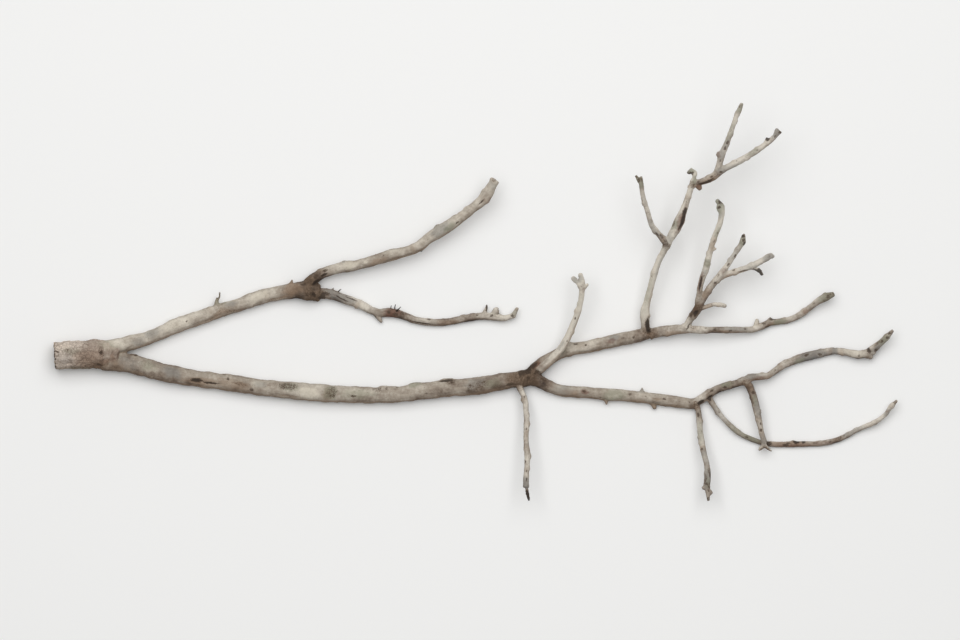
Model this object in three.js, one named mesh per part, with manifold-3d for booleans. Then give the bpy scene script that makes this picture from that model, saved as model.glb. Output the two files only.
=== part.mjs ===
// A weathered tree branch, sawn from its tree at the butt and lying flat on the ground.
// It forks once near the butt, the lower limb forks again, and each limb carries thin shoots.
import * as THREE from "three";
import { mergeVertices } from "three/addons/utils/BufferGeometryUtils.js";
import Module from "manifold-3d";

const wasm = await Module();
wasm.setup();

// Driving dimensions, in millimetres.
const jointGap = 0.3; // air left where one limb meets the limb that it grew from
const limbFacets = { sides: 10, ringGap: 15 };
const armFacets = { sides: 10, ringGap: 13 };
const twigFacets = { sides: 7, ringGap: 12 };
const stubFacets = { sides: 6, ringGap: 7 };
const groundSize = { width: 3000, depth: 100 };

// Bark colours, and the roughness that all of it shares.
const barkRoughness = 0.85;
const bark = {
  butt: 0x9d8d80,
  limb: 0xada698,
  spur: 0x989384,
  twig: 0xa8a296,
  shoot: 0xc4bfb2,
};

// Each limb is a list of stations [x, y, z, radius] along its middle line, in millimetres.
// x runs from the sawn butt towards the tips, y to the upper limb's side, and z is height.
// Stubs are short growths of the same wood, and meets names the limbs that it joins.

function butt() {
  return {
    name: "butt",
    color: bark.butt,
    facets: limbFacets,
    meets: [],
    stations: [
      [0, 0, 17, 18.2],
      [30, 2, 17, 18.4],
      [56, 3, 16.8, 18.2],
      [70, 3, 16, 17],
      [82, 2, 15, 13.6],
    ],
  };
}

function upperLimb() {
  return {
    name: "upper_limb",
    color: bark.limb,
    facets: limbFacets,
    meets: ["butt"],
    stations: [
      [64, 8, 17, 12],
      [82, 12, 15.5, 11.5],
      [98, 17, 13.5, 9.8],
      [124, 24, 10.5, 8.6],
      [144, 33, 9, 9.3],
      [163, 41, 9.1, 9.9],
      [189, 50, 8.8, 9.5],
      [215, 59, 8.7, 9.4],
      [242, 67, 8.3, 8.9],
      [268, 77, 8.8, 9.6],
      [294, 82, 8.6, 9.2],
      [313, 85, 10, 10.8],
      [330, 86, 11.4, 12.3],
      [345, 84, 9, 9.5],
    ],
    stubs: [
      [[212, 63, 11, 4], [211, 72, 13, 3], [212, 76, 13.5, 1.6]], // hooked stub
      [[211, 72, 13, 1.8], [215, 76, 14, 1.5], [215.5, 83, 15, 1]],
      [[306, 90, 13, 4.5], [310, 97, 15, 2.2], [310, 99.5, 15.5, 1.2]], // bud above the knot
      [[334, 82, 10, 7], [342, 76, 9.5, 5.2], [345, 73.5, 9, 3]], // lump under the knot
    ],
  };
}

function upperSpur() {
  return {
    name: "upper_spur",
    color: bark.spur,
    facets: limbFacets,
    meets: ["upper_limb"],
    stations: [
      [328, 90, 13, 9],
      [343, 105, 14, 6.8],
      [359, 111, 15, 6.5],
      [376, 116, 16, 7.5],
      [392, 118, 17, 6.8],
      [411, 123, 18, 6.9],
      [437, 131, 20, 7.7],
      [464, 138, 22, 6.5],
      [477, 144, 23, 7],
      [490, 155, 24, 7],
      [503, 163, 25, 8.2],
      [516, 171, 26, 8],
      [529, 180, 27, 6.8],
      [542, 190, 28, 6.4],
      [555, 201, 30, 6.2],
      [564, 213, 32, 6.4],
      [571, 222, 34, 6.4],
      [575, 229, 35, 5.8],
    ],
  };
}

function upperTwig() {
  return {
    name: "upper_twig",
    color: bark.twig,
    facets: twigFacets,
    meets: ["upper_limb", "upper_spur"],
    stations: [
      [333, 82, 11, 8],
      [352, 82, 9, 7],
      [366, 79, 8, 6.6],
      [379, 74, 7.3, 6.4],
      [392, 70, 6.6, 6],
      [405, 64, 6, 5.7],
      [414, 59, 5.7, 5.4],
      [424, 56, 5.5, 5.5],
      [435, 57, 5.8, 6],
      [444, 56, 5.5, 5.6],
      [457, 52, 5.2, 5.2],
      [470, 47, 4.7, 4.8],
      [490, 44, 4.5, 4.9],
      [509, 44, 4.4, 4.7],
      [522, 46, 4.7, 4.8],
      [542, 50, 5.3, 5.1],
      [562, 52, 6, 4.9],
      [581, 49, 7, 4],
      [592, 50, 8, 4],
      [599, 53, 10, 3.9],
      [603, 59, 12, 3.3],
      [604, 63, 13, 2],
    ],
    stubs: [
      [[360, 80, 10, 3], [362, 86, 11, 1.8], [364, 89, 12, 1]],
      [[418, 56, 6, 4], [424, 48, 5.5, 2.6], [427, 44, 5, 1.6]], // broken spur
      [[559, 54, 7, 3], [563, 61, 8, 1.8], [564, 67, 9, 0.9]],
      [[571, 53, 7, 3.6], [575, 59, 9, 3.8], [575.5, 62, 9.5, 2]], // knob
    ],
  };
}

function lowerLimb() {
  return {
    name: "lower_limb",
    color: bark.limb,
    facets: limbFacets,
    meets: ["butt", "upper_limb"],
    stations: [
      [62, -6, 15, 13],
      [78, -7, 14.5, 13],
      [98, -10, 13, 12.7],
      [118, -15, 11.6, 12.2],
      [144, -22, 11, 11.8],
      [163, -26, 10.6, 11.4],
      [189, -30, 10, 10.8],
      [209, -32, 10.1, 10.9],
      [242, -37, 10.3, 11.1],
      [268, -41, 10.2, 11],
      [294, -44, 10.2, 11],
      [320, -46, 10.8, 11.6],
      [346, -48, 10.8, 11.6],
      [379, -50, 10.1, 10.9],
      [411, -51, 9.9, 10.7],
      [451, -50, 9.8, 10.6],
      [470, -47, 10.3, 11.1],
      [490, -45, 10.1, 10.9],
      [509, -42, 10.5, 11.3],
      [529, -41, 10.4, 11.2],
      [555, -39, 10.7, 11.5],
      [575, -35, 10, 10.8],
      [594, -32, 9.9, 10.7],
      [610, -30, 10.3, 11.1],
      [626, -27, 10.4, 10.8],
    ],
  };
}

function dropTwig() {
  return {
    name: "drop_twig",
    color: bark.twig,
    facets: twigFacets,
    meets: ["lower_limb"],
    stations: [
      [602, -32, 12, 5.5],
      [608, -44, 16, 3.8],
      [614, -57, 19, 3.6],
      [615, -71, 22, 3.6],
      [616, -83, 25, 3.7],
      [615, -110, 30, 3.6],
      [617, -129, 33, 3.9],
      [616, -148, 36, 3.3],
      [615, -161, 38, 3.9],
      [615, -171, 39.5, 3.9],
    ],
    stubs: [
      [[615, -166, 39, 1.5], [617, -179, 41, 1.3], [619, -188, 42, 0.9]], // bare tip
    ],
  };
}

function middleLimb() {
  return {
    name: "middle_limb",
    color: bark.limb,
    facets: armFacets,
    meets: ["lower_limb"],
    stations: [
      [621, -25, 11, 9.8],
      [634, -12, 10.5, 8.9],
      [647, -3, 9, 7.6],
      [660, 4, 8, 7.8],
      [675, 9, 7.5, 8.2],
      [692, 11, 7.5, 8.3],
      [712, 16, 7.4, 8.1],
      [731, 20, 7.8, 8.5],
      [751, 24, 7.8, 8.4],
      [770, 28, 8.4, 8],
      [778, 30, 9, 7],
    ],
    stubs: [
      [[676, 12, 8.5, 4.5], [672, 18, 9.5, 1.6]],
    ],
  };
}

function crossingTwig() {
  return {
    name: "crossing_twig",
    color: bark.shoot,
    facets: twigFacets,
    meets: ["lower_limb", "middle_limb"],
    stations: [
      [632, -19, 16, 6.4],
      [648, -5, 20, 5.2],
      [660, 8, 24, 5],
      [668, 21, 28, 5],
      [674, 34, 31, 4.3],
      [684, 61, 37, 4.1],
      [687, 74, 40, 3.7],
      [688, 87, 43, 3.8],
      [688, 97, 45, 4.4],
      [686, 105, 46, 3.9],
      [686, 108, 46, 2.2],
    ],
    stubs: [
      [[687, 89, 43.5, 3], [680, 98, 46, 2.4], [676, 102, 47, 1.9]],
      [[688, 85, 43, 3], [693, 91, 44, 2.4], [696, 94, 45, 1.8]],
    ],
  };
}

function middleLimbEnd() {
  return {
    name: "middle_limb_end",
    color: bark.twig,
    facets: twigFacets,
    meets: ["middle_limb"],
    stations: [
      [770, 28, 9, 6.2],
      [784, 31, 10.5, 5.2],
      [797, 34, 12, 5],
      [810, 34.5, 14, 4.6],
      [829, 35, 17, 4],
      [858, 34, 17, 4.2],
      [881, 34, 14, 4.3],
      [901, 34, 11, 4.2],
      [914, 35, 8.5, 4.4],
      [924, 39, 6.5, 4.3],
      [935, 44, 5, 4.9],
      [949, 45, 4, 4.2],
      [962, 48, 4.5, 4.2],
      [975, 55, 7, 4.2],
      [987, 64, 10, 4.1],
      [999, 73, 13, 4.2],
      [1009, 78, 15, 4.6],
      [1017, 81, 17, 2.8],
    ],
    stubs: [
      [[914, 36, 8, 3.4], [916, 44, 10, 2.9], [917, 48, 11, 2]],
      [[931, 43, 5.5, 3.8], [935, 50, 6.5, 1.8]], // elbow
    ],
  };
}

function tallShoot() {
  return {
    name: "tall_shoot",
    color: bark.shoot,
    facets: twigFacets,
    meets: ["middle_limb", "middle_limb_end"],
    stations: [
      [771, 28, 10, 6.5],
      [771, 41, 14, 5.8],
      [770, 54, 19, 6.2],
      [771, 64, 22, 5.6],
      [774, 74, 25, 4.5],
      [777, 87, 29, 4.3],
      [784, 113, 36, 4.4],
      [789, 126, 40, 4.2],
      [796, 139, 44, 4.3],
      [802, 151, 47, 4.9],
      [809, 163, 50, 5.6],
      [813, 172, 52, 6.2],
      [817, 182, 54, 6],
      [821, 191, 56, 4.9],
      [825, 204, 58, 4],
      [828, 213, 60, 3.8],
      [831, 222, 62, 4.1],
      [833, 230, 64, 3.6],
    ],
    stubs: [
      [[832, 226, 63, 3.2], [835, 236, 65, 2.9], [832, 243, 66, 2.6], [828, 242, 66, 2.4], [827, 238.5, 66, 1.5]],
    ],
  };
}

function tallShootLeftTwig() {
  return {
    name: "tall_shoot_left_twig",
    color: bark.twig,
    facets: twigFacets,
    meets: ["tall_shoot"],
    stations: [
      [799, 144, 45.5, 4.2],
      [792, 155, 48, 4.2],
      [783, 164, 51, 3.9],
      [778, 172, 53, 3.6],
      [776, 179, 55, 3.4],
      [773, 190, 58, 3.4],
      [768, 204, 62, 3.1],
      [766, 217, 66, 3],
      [765, 226, 68, 3],
      [765, 234, 70, 1.6],
    ],
    stubs: [
      [[765.5, 223, 67, 2.6], [760, 232, 70, 2.3], [758, 235, 71, 1.6]],
    ],
  };
}

function tallShootRightBranch() {
  return {
    name: "tall_shoot_right_branch",
    color: bark.twig,
    facets: twigFacets,
    meets: ["tall_shoot"],
    stations: [
      [830, 223, 62, 3.6],
      [838, 226, 64, 3.9],
      [848, 229, 66, 3.8],
      [857, 233, 68, 4.5],
      [864, 238, 70, 5],
      [871, 243, 71, 4.4],
      [882, 248, 73, 4.3],
      [895, 255, 75, 4.3],
      [905, 261, 77, 4.1],
      [915, 267, 79, 3.9],
      [926, 275, 81, 3.8],
      [934, 281, 82, 3.1],
      [939, 286, 83, 3.2],
      [942, 295, 85, 1.6],
    ],
    stubs: [
      [[937, 284, 82.5, 2.8], [943, 289, 84, 2.4], [947, 292, 84, 1.6]],
      [[925, 273, 81, 3], [928, 281, 83, 2.4], [929, 284, 84, 1.5]],
      [[838, 225, 63.5, 3.4], [841, 219, 62, 3], [842, 217.5, 62, 1.8]], // bud
    ],
  };
}

function tallShootTopTwig() {
  return {
    name: "tall_shoot_top_twig",
    color: bark.twig,
    facets: twigFacets,
    meets: ["tall_shoot_right_branch"],
    stations: [
      [863, 238, 70, 4.4],
      [866, 247, 72, 4.5],
      [868, 254, 73, 4.4],
      [870, 263, 75, 4.7],
      [874, 271, 77, 4.3],
      [879, 284, 80, 3.5],
      [885, 301, 84, 3.2],
      [888, 310, 86, 3.1],
      [892, 319, 88, 3.4],
      [895, 325, 89, 3.6],
      [896, 329, 90, 2.2],
    ],
    stubs: [
      [[869, 260, 75, 3.4], [865, 265, 76, 1.8]],
    ],
  };
}

function secondShootBase() {
  return {
    name: "second_shoot_base",
    color: bark.twig,
    facets: twigFacets,
    meets: ["middle_limb_end"],
    stations: [
      [820, 34.5, 16, 3.8],
      [826, 41, 19, 4.6],
      [830, 49, 22, 4.5],
      [835, 55, 25, 5.4],
      [839, 62, 28, 6],
      [841, 67, 30, 5],
    ],
  };
}

function secondShootLong() {
  return {
    name: "second_shoot_long",
    color: bark.shoot,
    facets: twigFacets,
    meets: ["second_shoot_base"],
    stations: [
      [839, 62, 28.5, 4.6],
      [840, 76, 32, 4.1],
      [842, 87, 35, 3.5],
      [843, 95, 37, 3.7],
      [846, 104, 39, 4.3],
      [850, 115, 42, 4.5],
      [852, 125, 44, 4.4],
      [855, 135, 47, 3.9],
      [859, 151, 50, 3.9],
      [864, 163, 53, 3.7],
      [868, 173, 55, 3.7],
      [870, 183, 57, 3.6],
      [870.5, 192, 59, 3.3],
      [868.5, 199, 60, 3],
      [863.5, 203, 60, 1.9],
    ],
    stubs: [
      [[869, 199, 60, 3], [866.5, 194, 59, 3.1], [867, 188.5, 58, 1.6]], // curled bud
      [[855, 136, 47.5, 3.2], [859, 139, 48.5, 2.4], [863, 140, 49, 1.4]],
    ],
  };
}

function secondShootRight() {
  return {
    name: "second_shoot_right",
    color: bark.twig,
    facets: twigFacets,
    meets: ["second_shoot_base", "second_shoot_long"],
    stations: [
      [840, 64, 28.5, 5],
      [848, 78, 31, 4.6],
      [855, 89, 34, 4.7],
      [862, 98, 36, 4.7],
      [868, 105, 38, 4.6],
      [873, 112, 39.5, 3.9],
      [879, 120, 41, 3.6],
      [884, 128, 43, 3.4],
      [890, 137, 45, 3.4],
      [895, 145, 47, 3.6],
      [899, 152, 48.5, 3.7],
      [900, 155.5, 49, 2.8],
      [899, 159, 50, 1.4],
    ],
  };
}

function secondShootSide() {
  return {
    name: "second_shoot_side",
    color: bark.twig,
    facets: twigFacets,
    meets: ["second_shoot_right"],
    stations: [
      [865, 101, 37, 4],
      [874, 106, 37.5, 3.8],
      [883, 109, 38, 3.5],
      [895, 113, 39, 3.4],
      [905, 116, 40, 3.8],
      [915, 120, 41.5, 3.8],
      [924, 125, 43, 4.1],
      [932, 129, 44.5, 4.2],
      [937, 132, 46, 2.8],
    ],
    stubs: [
      [[905, 116, 39, 2.2], [913, 114.5, 38, 1.4], [919, 112, 36, 1.3], [923, 106, 33, 1.2]], // bare spur
    ],
  };
}

function secondShootSpur() {
  return {
    name: "second_shoot_spur",
    color: bark.twig,
    facets: twigFacets,
    meets: ["second_shoot_base", "second_shoot_right"],
    stations: [
      [839, 60, 27, 3],
      [850, 64, 28, 2.2],
      [858, 67, 29, 2.1],
      [866, 67.5, 29.5, 2.2],
      [873, 66, 29, 2.7],
      [875.5, 65, 29, 1.8],
    ],
  };
}

function rightLimb() {
  return {
    name: "right_limb",
    color: bark.limb,
    facets: armFacets,
    meets: ["lower_limb", "middle_limb", "crossing_twig"],
    stations: [
      [622, -29, 10.5, 10],
      [635, -34, 9, 8.5],
      [647, -41, 7.4, 7.7],
      [660, -45, 7, 7.7],
      [679, -47, 6.8, 7.5],
      [699, -48, 6.7, 7.4],
      [718, -50, 7, 7.8],
      [738, -51, 7, 7.8],
      [757, -53, 6.7, 7.4],
      [777, -55, 6.7, 7.4],
      [793, -57, 6.4, 7.1],
      [810, -59, 6.2, 6.9],
      [829, -62, 6, 6.6],
      [841, -61, 6.6, 6.8],
    ],
    stubs: [
      [[719, -53, 6.5, 3.8], [720, -61, 6, 2.2], [720.5, -63, 6, 1.4]],
      [[765, -50, 9, 4], [766.5, -44, 11, 2.2], [767, -41.5, 11.5, 1]],
      [[778, -57, 6.6, 4], [782, -65, 5.5, 2.6], [784, -68, 5, 1.8]],
    ],
  };
}

function rightLimbEnd() {
  return {
    name: "right_limb_end",
    color: bark.twig,
    facets: twigFacets,
    meets: ["right_limb"],
    stations: [
      [836, -61, 7, 6.2],
      [846, -55, 8, 6.4],
      [857, -47, 9, 5.8],
      [868, -42, 10, 5.3],
      [882, -38, 11.5, 5],
      [894, -35, 13, 5.1],
      [903, -31, 14, 5.6],
      [911, -27, 14, 5.4],
      [920, -27, 13, 4.7],
      [931, -26, 11.5, 4.1],
      [940, -20, 10, 4.3],
      [949, -13, 8, 4.8],
      [960, -8, 6, 5.1],
      [973, -3, 5, 5.5],
      [986, 0, 5.1, 5.7],
      [999, 3, 4.8, 5.2],
      [1015, 6.5, 5.5, 4.5],
      [1028, 6, 7, 4.4],
      [1041, 3.5, 8.5, 4.7],
      [1051, 2.5, 9, 4.6],
      [1060, 4, 9.5, 4.6],
      [1066, 8.5, 11, 4.1],
      [1075, 14.5, 13, 3.7],
      [1083, 21, 16, 3.6],
      [1089, 28, 18, 3.5],
      [1094, 33.5, 20, 2.1],
    ],
    stubs: [
      [[1061, 5, 10, 3.4], [1070, 5.5, 11, 1.8]],
      [[1059, 3, 9, 3.2], [1066, -1.5, 9, 1.7]],
    ],
  };
}

function hangingTwig() {
  return {
    name: "hanging_twig",
    color: bark.twig,
    facets: twigFacets,
    meets: ["right_limb", "right_limb_end"],
    stations: [
      [837, -61, 8, 4.6],
      [840, -71, 11, 3.6],
      [841.5, -83, 14, 3.5],
      [842, -96, 17, 3.4],
      [844, -109, 20, 3.3],
      [846, -121, 22, 3.4],
      [848, -131, 24, 3.2],
      [851, -143, 26, 3.2],
      [852, -153, 27.5, 3.5],
      [851.5, -164, 29, 3.5],
      [851, -171, 30, 3.8],
      [852.5, -178, 31, 2.9],
      [852, -185, 32, 2.9],
      [853, -189, 32.5, 1.8],
    ],
    stubs: [
      [[851, -169, 30, 3], [846, -173, 31, 1.8]],
      [[852, -176, 31, 3], [857, -179.5, 32, 1.8]],
    ],
  };
}

function sweepingTwig() {
  return {
    name: "sweeping_twig",
    color: bark.twig,
    facets: twigFacets,
    meets: ["right_limb", "right_limb_end"],
    stations: [
      [852, -52, 8.6, 4.6],
      [859, -63, 8.5, 4],
      [865, -72, 8.5, 3.5],
      [875, -84, 8.5, 3.3],
      [885, -94, 7.5, 3.3],
      [896, -102.5, 6, 3.3],
      [908, -108, 4.5, 3.3],
      [923, -113.5, 3.3, 3.3],
      [940, -115.5, 3.2, 3.6],
      [957, -115.5, 3.3, 3.7],
      [973, -115, 3.4, 3.9],
      [989, -115, 3.1, 3.5],
      [1002, -114, 3.3, 3.8],
      [1015, -111.5, 3.3, 3.6],
      [1028, -107, 3.8, 3.4],
      [1041, -100, 5, 3.2],
      [1053, -94, 6.5, 3.1],
      [1064, -89.5, 8, 3.1],
      [1075, -84, 9.5, 3],
      [1084, -77.5, 11, 3.2],
      [1088, -70, 12.5, 3],
      [1093, -64, 14, 2.7],
      [1097, -60, 15, 3],
      [1099.5, -58, 15.5, 1.8],
    ],
  };
}

function rightCrossingTwig() {
  return {
    name: "right_crossing_twig",
    color: bark.twig,
    facets: twigFacets,
    meets: ["right_limb_end"],
    stations: [
      [901, -32, 14.5, 5],
      [908, -41, 17, 4.6],
      [912, -52, 19, 4.1],
      [915, -63, 19.5, 4],
      [918, -76, 19, 3.7],
      [920, -88, 18, 3.5],
      [922, -98.5, 17, 3.4],
      [925, -109, 15.5, 3.3],
      [926.5, -117, 14.5, 3.3],
      [927, -120, 14, 2],
    ],
    stubs: [
      [[926, -115, 14.5, 3], [921, -121.5, 13.5, 2.5], [919, -123, 13, 1.6]],
      [[926.5, -116, 14.5, 2.6], [932, -122, 13.5, 1.5], [936, -124.5, 13, 0.9]],
    ],
  };
}

// A closed geometry as a solid that can be joined and cut.
function solid(geometry) {
  geometry.deleteAttribute("normal");
  geometry.deleteAttribute("uv");
  const merged = mergeVertices(geometry, 1e-4);
  return new wasm.Manifold(
    new wasm.Mesh({
      numProp: 3,
      vertProperties: merged.attributes.position.array,
      triVerts: new Uint32Array(merged.index.array),
    }),
  );
}

// A cylinder bent along the stations, its rings swelling and tapering with their radii.
function tube(stations, facets, grow) {
  const path = new THREE.CatmullRomCurve3(stations.map(([x, y, z]) => new THREE.Vector3(x, y, z)));
  const rings = Math.max(stations.length - 1, Math.ceil(path.getLength() / facets.ringGap));
  const frames = path.computeFrenetFrames(rings);
  const geometry = new THREE.CylinderGeometry(1, 1, 1, facets.sides, rings);
  const position = geometry.attributes.position;
  const vertex = new THREE.Vector3();
  for (let i = 0; i < position.count; i++) {
    const ring = Math.round((0.5 - position.getY(i)) * rings);
    const radius = radiusAt(stations, path.getUtoTmapping(ring / rings)) + grow;
    const past = ring === 0 ? -grow : ring === rings ? grow : 0;
    vertex.copy(path.getPointAt(ring / rings));
    vertex.addScaledVector(frames.tangents[ring], past);
    vertex.addScaledVector(frames.normals[ring], radius * position.getX(i));
    vertex.addScaledVector(frames.binormals[ring], radius * position.getZ(i));
    position.setXYZ(i, ...vertex);
  }
  return solid(geometry);
}

// The radius at t along a list of stations, eased from each station to the next.
function radiusAt(stations, t) {
  const place = t * (stations.length - 1);
  const from = Math.min(Math.floor(place), stations.length - 2);
  const eased = THREE.MathUtils.smoothstep(place - from, 0, 1);
  return THREE.MathUtils.lerp(stations[from][3], stations[from + 1][3], eased);
}

// A limb with its stubs, every surface moved out by grow.
function growth(limb, grow = 0) {
  const stubs = (limb.stubs ?? []).map((stations) => tube(stations, stubFacets, grow));
  return stubs.reduce((whole, stub) => whole.add(stub), tube(limb.stations, limb.facets, grow));
}

// What lies below the surface that the branch rests on.
function ground() {
  const { width, depth } = groundSize;
  return solid(new THREE.BoxGeometry(width, width, depth).translate(0, 0, -depth / 2));
}

// The biggest of a solid's separate bodies: cutting a limb can leave a sliver beside it.
function biggestBody(cut) {
  return cut.decompose().reduce((best, body) => (body.volume() > best.volume() ? body : best));
}

function meshOf(limb, body) {
  const { numProp, vertProperties, triVerts } = body.getMesh();
  const geometry = new THREE.BufferGeometry();
  geometry.setAttribute("position", new THREE.BufferAttribute(vertProperties, numProp));
  geometry.setIndex(new THREE.BufferAttribute(triVerts, 1));
  geometry.computeVertexNormals();
  const material = new THREE.MeshStandardMaterial({
    color: limb.color,
    roughness: barkRoughness,
    metalness: 0,
  });
  const mesh = new THREE.Mesh(geometry, material);
  mesh.name = limb.name;
  return mesh;
}

// From the butt outwards, so that every limb comes after those that it meets.
const limbs = [
  butt(),
  upperLimb(),
  upperSpur(),
  upperTwig(),
  lowerLimb(),
  dropTwig(),
  middleLimb(),
  crossingTwig(),
  middleLimbEnd(),
  tallShoot(),
  tallShootLeftTwig(),
  tallShootRightBranch(),
  tallShootTopTwig(),
  secondShootBase(),
  secondShootLong(),
  secondShootRight(),
  secondShootSide(),
  secondShootSpur(),
  rightLimb(),
  rightLimbEnd(),
  hangingTwig(),
  sweepingTwig(),
  rightCrossingTwig(),
];

const branch = new THREE.Group();
const earth = ground();
for (const limb of limbs) {
  const neighbours = limbs.filter((other) => limb.meets.includes(other.name));
  const whole = growth(limb).subtract(earth);
  const cut = neighbours.reduce((left, other) => left.subtract(growth(other, jointGap)), whole);
  branch.add(meshOf(limb, biggestBody(cut)));
}

// The origin is under the middle of the branch, on the surface that it lies on.
const box = new THREE.Box3().setFromObject(branch);
const middle = box.getCenter(new THREE.Vector3());
branch.position.set(-middle.x, -middle.y, -box.min.z);

export default branch;
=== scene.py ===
import heapq
import math

import bmesh
import bpy
import numpy as np
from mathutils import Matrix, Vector
from mathutils.bvhtree import BVHTree
from mathutils.kdtree import KDTree


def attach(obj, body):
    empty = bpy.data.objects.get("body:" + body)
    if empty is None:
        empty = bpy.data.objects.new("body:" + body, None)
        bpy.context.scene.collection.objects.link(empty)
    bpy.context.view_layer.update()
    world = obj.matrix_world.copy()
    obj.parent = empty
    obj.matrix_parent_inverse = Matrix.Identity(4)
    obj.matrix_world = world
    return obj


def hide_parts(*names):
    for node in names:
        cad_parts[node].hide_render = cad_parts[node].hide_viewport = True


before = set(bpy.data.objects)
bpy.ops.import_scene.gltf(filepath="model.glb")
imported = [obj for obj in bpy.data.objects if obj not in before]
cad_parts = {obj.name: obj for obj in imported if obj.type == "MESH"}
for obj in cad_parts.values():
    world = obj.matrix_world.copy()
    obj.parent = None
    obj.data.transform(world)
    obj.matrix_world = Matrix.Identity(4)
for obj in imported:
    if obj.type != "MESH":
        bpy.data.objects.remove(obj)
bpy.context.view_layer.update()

mm = 0.001

# what each kind of mark adds to the bark's masks, and its height in millimetres
markKinds = {
    "scar": {"dark": 0.64, "height": -0.5, "lip": 0.3},
    "slit": {"dark": 0.95, "height": -1.1},
    "hole": {"dark": 1.0, "height": -2.2, "lip": 0.4},
    "shade": {"dark": 0.55, "brown": 0.8, "crazed": 0.6},
    # a shaded crease is a shallow dent painted brown and dark with the shade that lies along a fold
    "crease": {"dark": 0.35, "brown": 0.9, "height": -0.7},
    "knot": {"dark": 0.5, "brown": 0.7, "crazed": 0.5, "height": 0.9},
    "crust": {"dark": 0.56, "crazed": 1.0, "height": 0.5},
    "bud": {"dark": 0.2, "height": 1.2},
    "lump": {"height": 1.2},
    "dent": {"dark": 0.2, "height": -0.7},
    "black": {"dark": 1.0},
    "grey": {"grey": 1.0},
    "green": {"green": 1.0},
    "brown": {"brown": 1.0},
    "red": {"red": 1.0},
    "pale": {"pale": 1.0},
}
maskNames = ("dark", "pale", "grey", "green", "brown", "red")

# one dictionary for each limb: where it grows from, the bark it wears, how pale it is along
# its length (0 dark brown, 1 cream), how crazed its bark is, and the marks on it by kind.
# A mark has its place as a share of the limb's length, its side in degrees round from the top
# (to the left of the limb's growth above 0, to the right below), its length and width in
# millimetres, and its strength where that isn't 1
limbs = {}

limbs["butt"] = {
    "growsFrom": None, "bark": "butt_bark",
    "paleness": [(0, 1.14), (0.25, 0.94), (0.5, 0.6), (0.7, 0.45), (1, 0.32)],
    "crazed": [(0, 1), (0.55, 0.8), (0.8, 0.45), (1, 0.25)],
    "marks": {
        "scar": [(0.05, -45, 5, 5), (0.1, 0, 5, 2.5), (0.12, -60, 4, 3, 0.8), (0.24, 24, 4, 3),
                 (0.64, 12, 5, 4, 0.7), (0.66, 22, 5, 3, 0.8), (0.72, -8, 5, 3, 0.7)],
        "slit": [(0.3, -120, 24, 3, 0.7), (0.4, 110, 30, 3, 0.7)],
        "hole": [(0.665, 4, 7, 4, 0.8)],
        "shade": [(0.6, -62, 44, 12, 0.75)],
        "crease": [(0.48, -22, 20, 5, 0.6), (0.64, -46, 26, 9), (0.86, -40, 26, 8, 0.9)],
        "crust": [(0.68, 8, 15, 12, 0.7)],
        "lump": [(0.58, -88, 34, 20, 1.2), (0.84, 6, 24, 6)],
        "dent": [(0.9, -14, 20, 9, 0.9)],
        "black": [(0.66, -48, 14, 4, 0.7)],
        "grey": [(0.2, -10, 24, 18, 0.5)],
        "green": [(0.3, 18, 22, 10, 0.6), (0.35, -85, 50, 14, 0.7), (0.8, 36, 30, 12, 0.5)],
        "brown": [(0.25, -85, 40, 14, 0.9), (0.5, -20, 40, 22, 0.6), (0.62, -15, 30, 20, 0.5)],
        "pale": [(0.15, 35, 22, 18, 0.7), (0.81, 44, 34, 12, 0.8), (0.9, -12, 16, 7, 0.4)],
    },
}
limbs["upper_limb"] = {
    "growsFrom": "butt", "bark": "limb_bark",
    "paleness": [(0, 0.5), (0.04, 0.76), (0.13, 0.7), (0.2, 0.7), (0.3, 0.8), (0.38, 0.78), (0.5, 0.6),
                 (0.62, 0.66), (0.72, 0.7), (0.8, 0.6), (0.87, 0.18), (1, 0.05)],
    "crazed": [(0, 0.2), (0.15, 0)],
    "marks": {
        "scar": [(0.36, 5, 4, 2.4, 0.8), (0.885, 40, 6, 5), (0.9, -50, 12, 6, 0.9), (0.92, -10, 7, 4, 0.9),
                 (0.94, 5, 8, 5), (0.965, 40, 7, 6)],
        "hole": [(0.955, 5, 8, 6, 0.8)],
        "shade": [(0.53, 75, 9, 8, 0.8), (0.985, 0, 12, 22, 0.7)],
        "crease": [(0.04, -60, 20, 5, 0.8), (0.47, -50, 40, 4, 0.9), (0.575, -55, 30, 4, 0.9),
                   (0.78, -45, 30, 4)],
        "knot": [(0.93, 20, 22, 18, 0.9), (0.95, -60, 18, 12)],
        "bud": [(0.3, 60, 8, 6), (0.66, -50, 8, 6)],
        "lump": [(0.05, -20, 26, 6), (0.93, -60, 14, 9, 0.9), (0.97, 60, 12, 9, 0.9)],
        "dent": [(0.25, -30, 9, 4, 0.8), (0.4, 20, 8, 4, 0.8), (0.52, -20, 10, 4, 0.7), (0.81, 15, 6, 3),
                 (0.835, 5, 5, 3)],
        "black": [(0.98, -48, 12, 6, 0.8)],
        "grey": [(0.13, -10, 18, 12, 0.5), (0.2, 25, 26, 12, 0.8), (0.57, 10, 16, 10, 0.7)],
        "green": [(0.53, 40, 14, 12, 0.8)],
        # the long brown strip low on the right side paints the shade on the limb's underside, over its browner
        # bark
        "brown": [(0.15, -70, 50, 9, 0.7), (0.35, -75, 120, 8, 0.7), (0.85, -10, 30, 14, 0.8)],
        "pale": [(0.31, 10, 40, 12, 0.5), (0.7, 15, 26, 11, 0.9)],
    },
}
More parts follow.
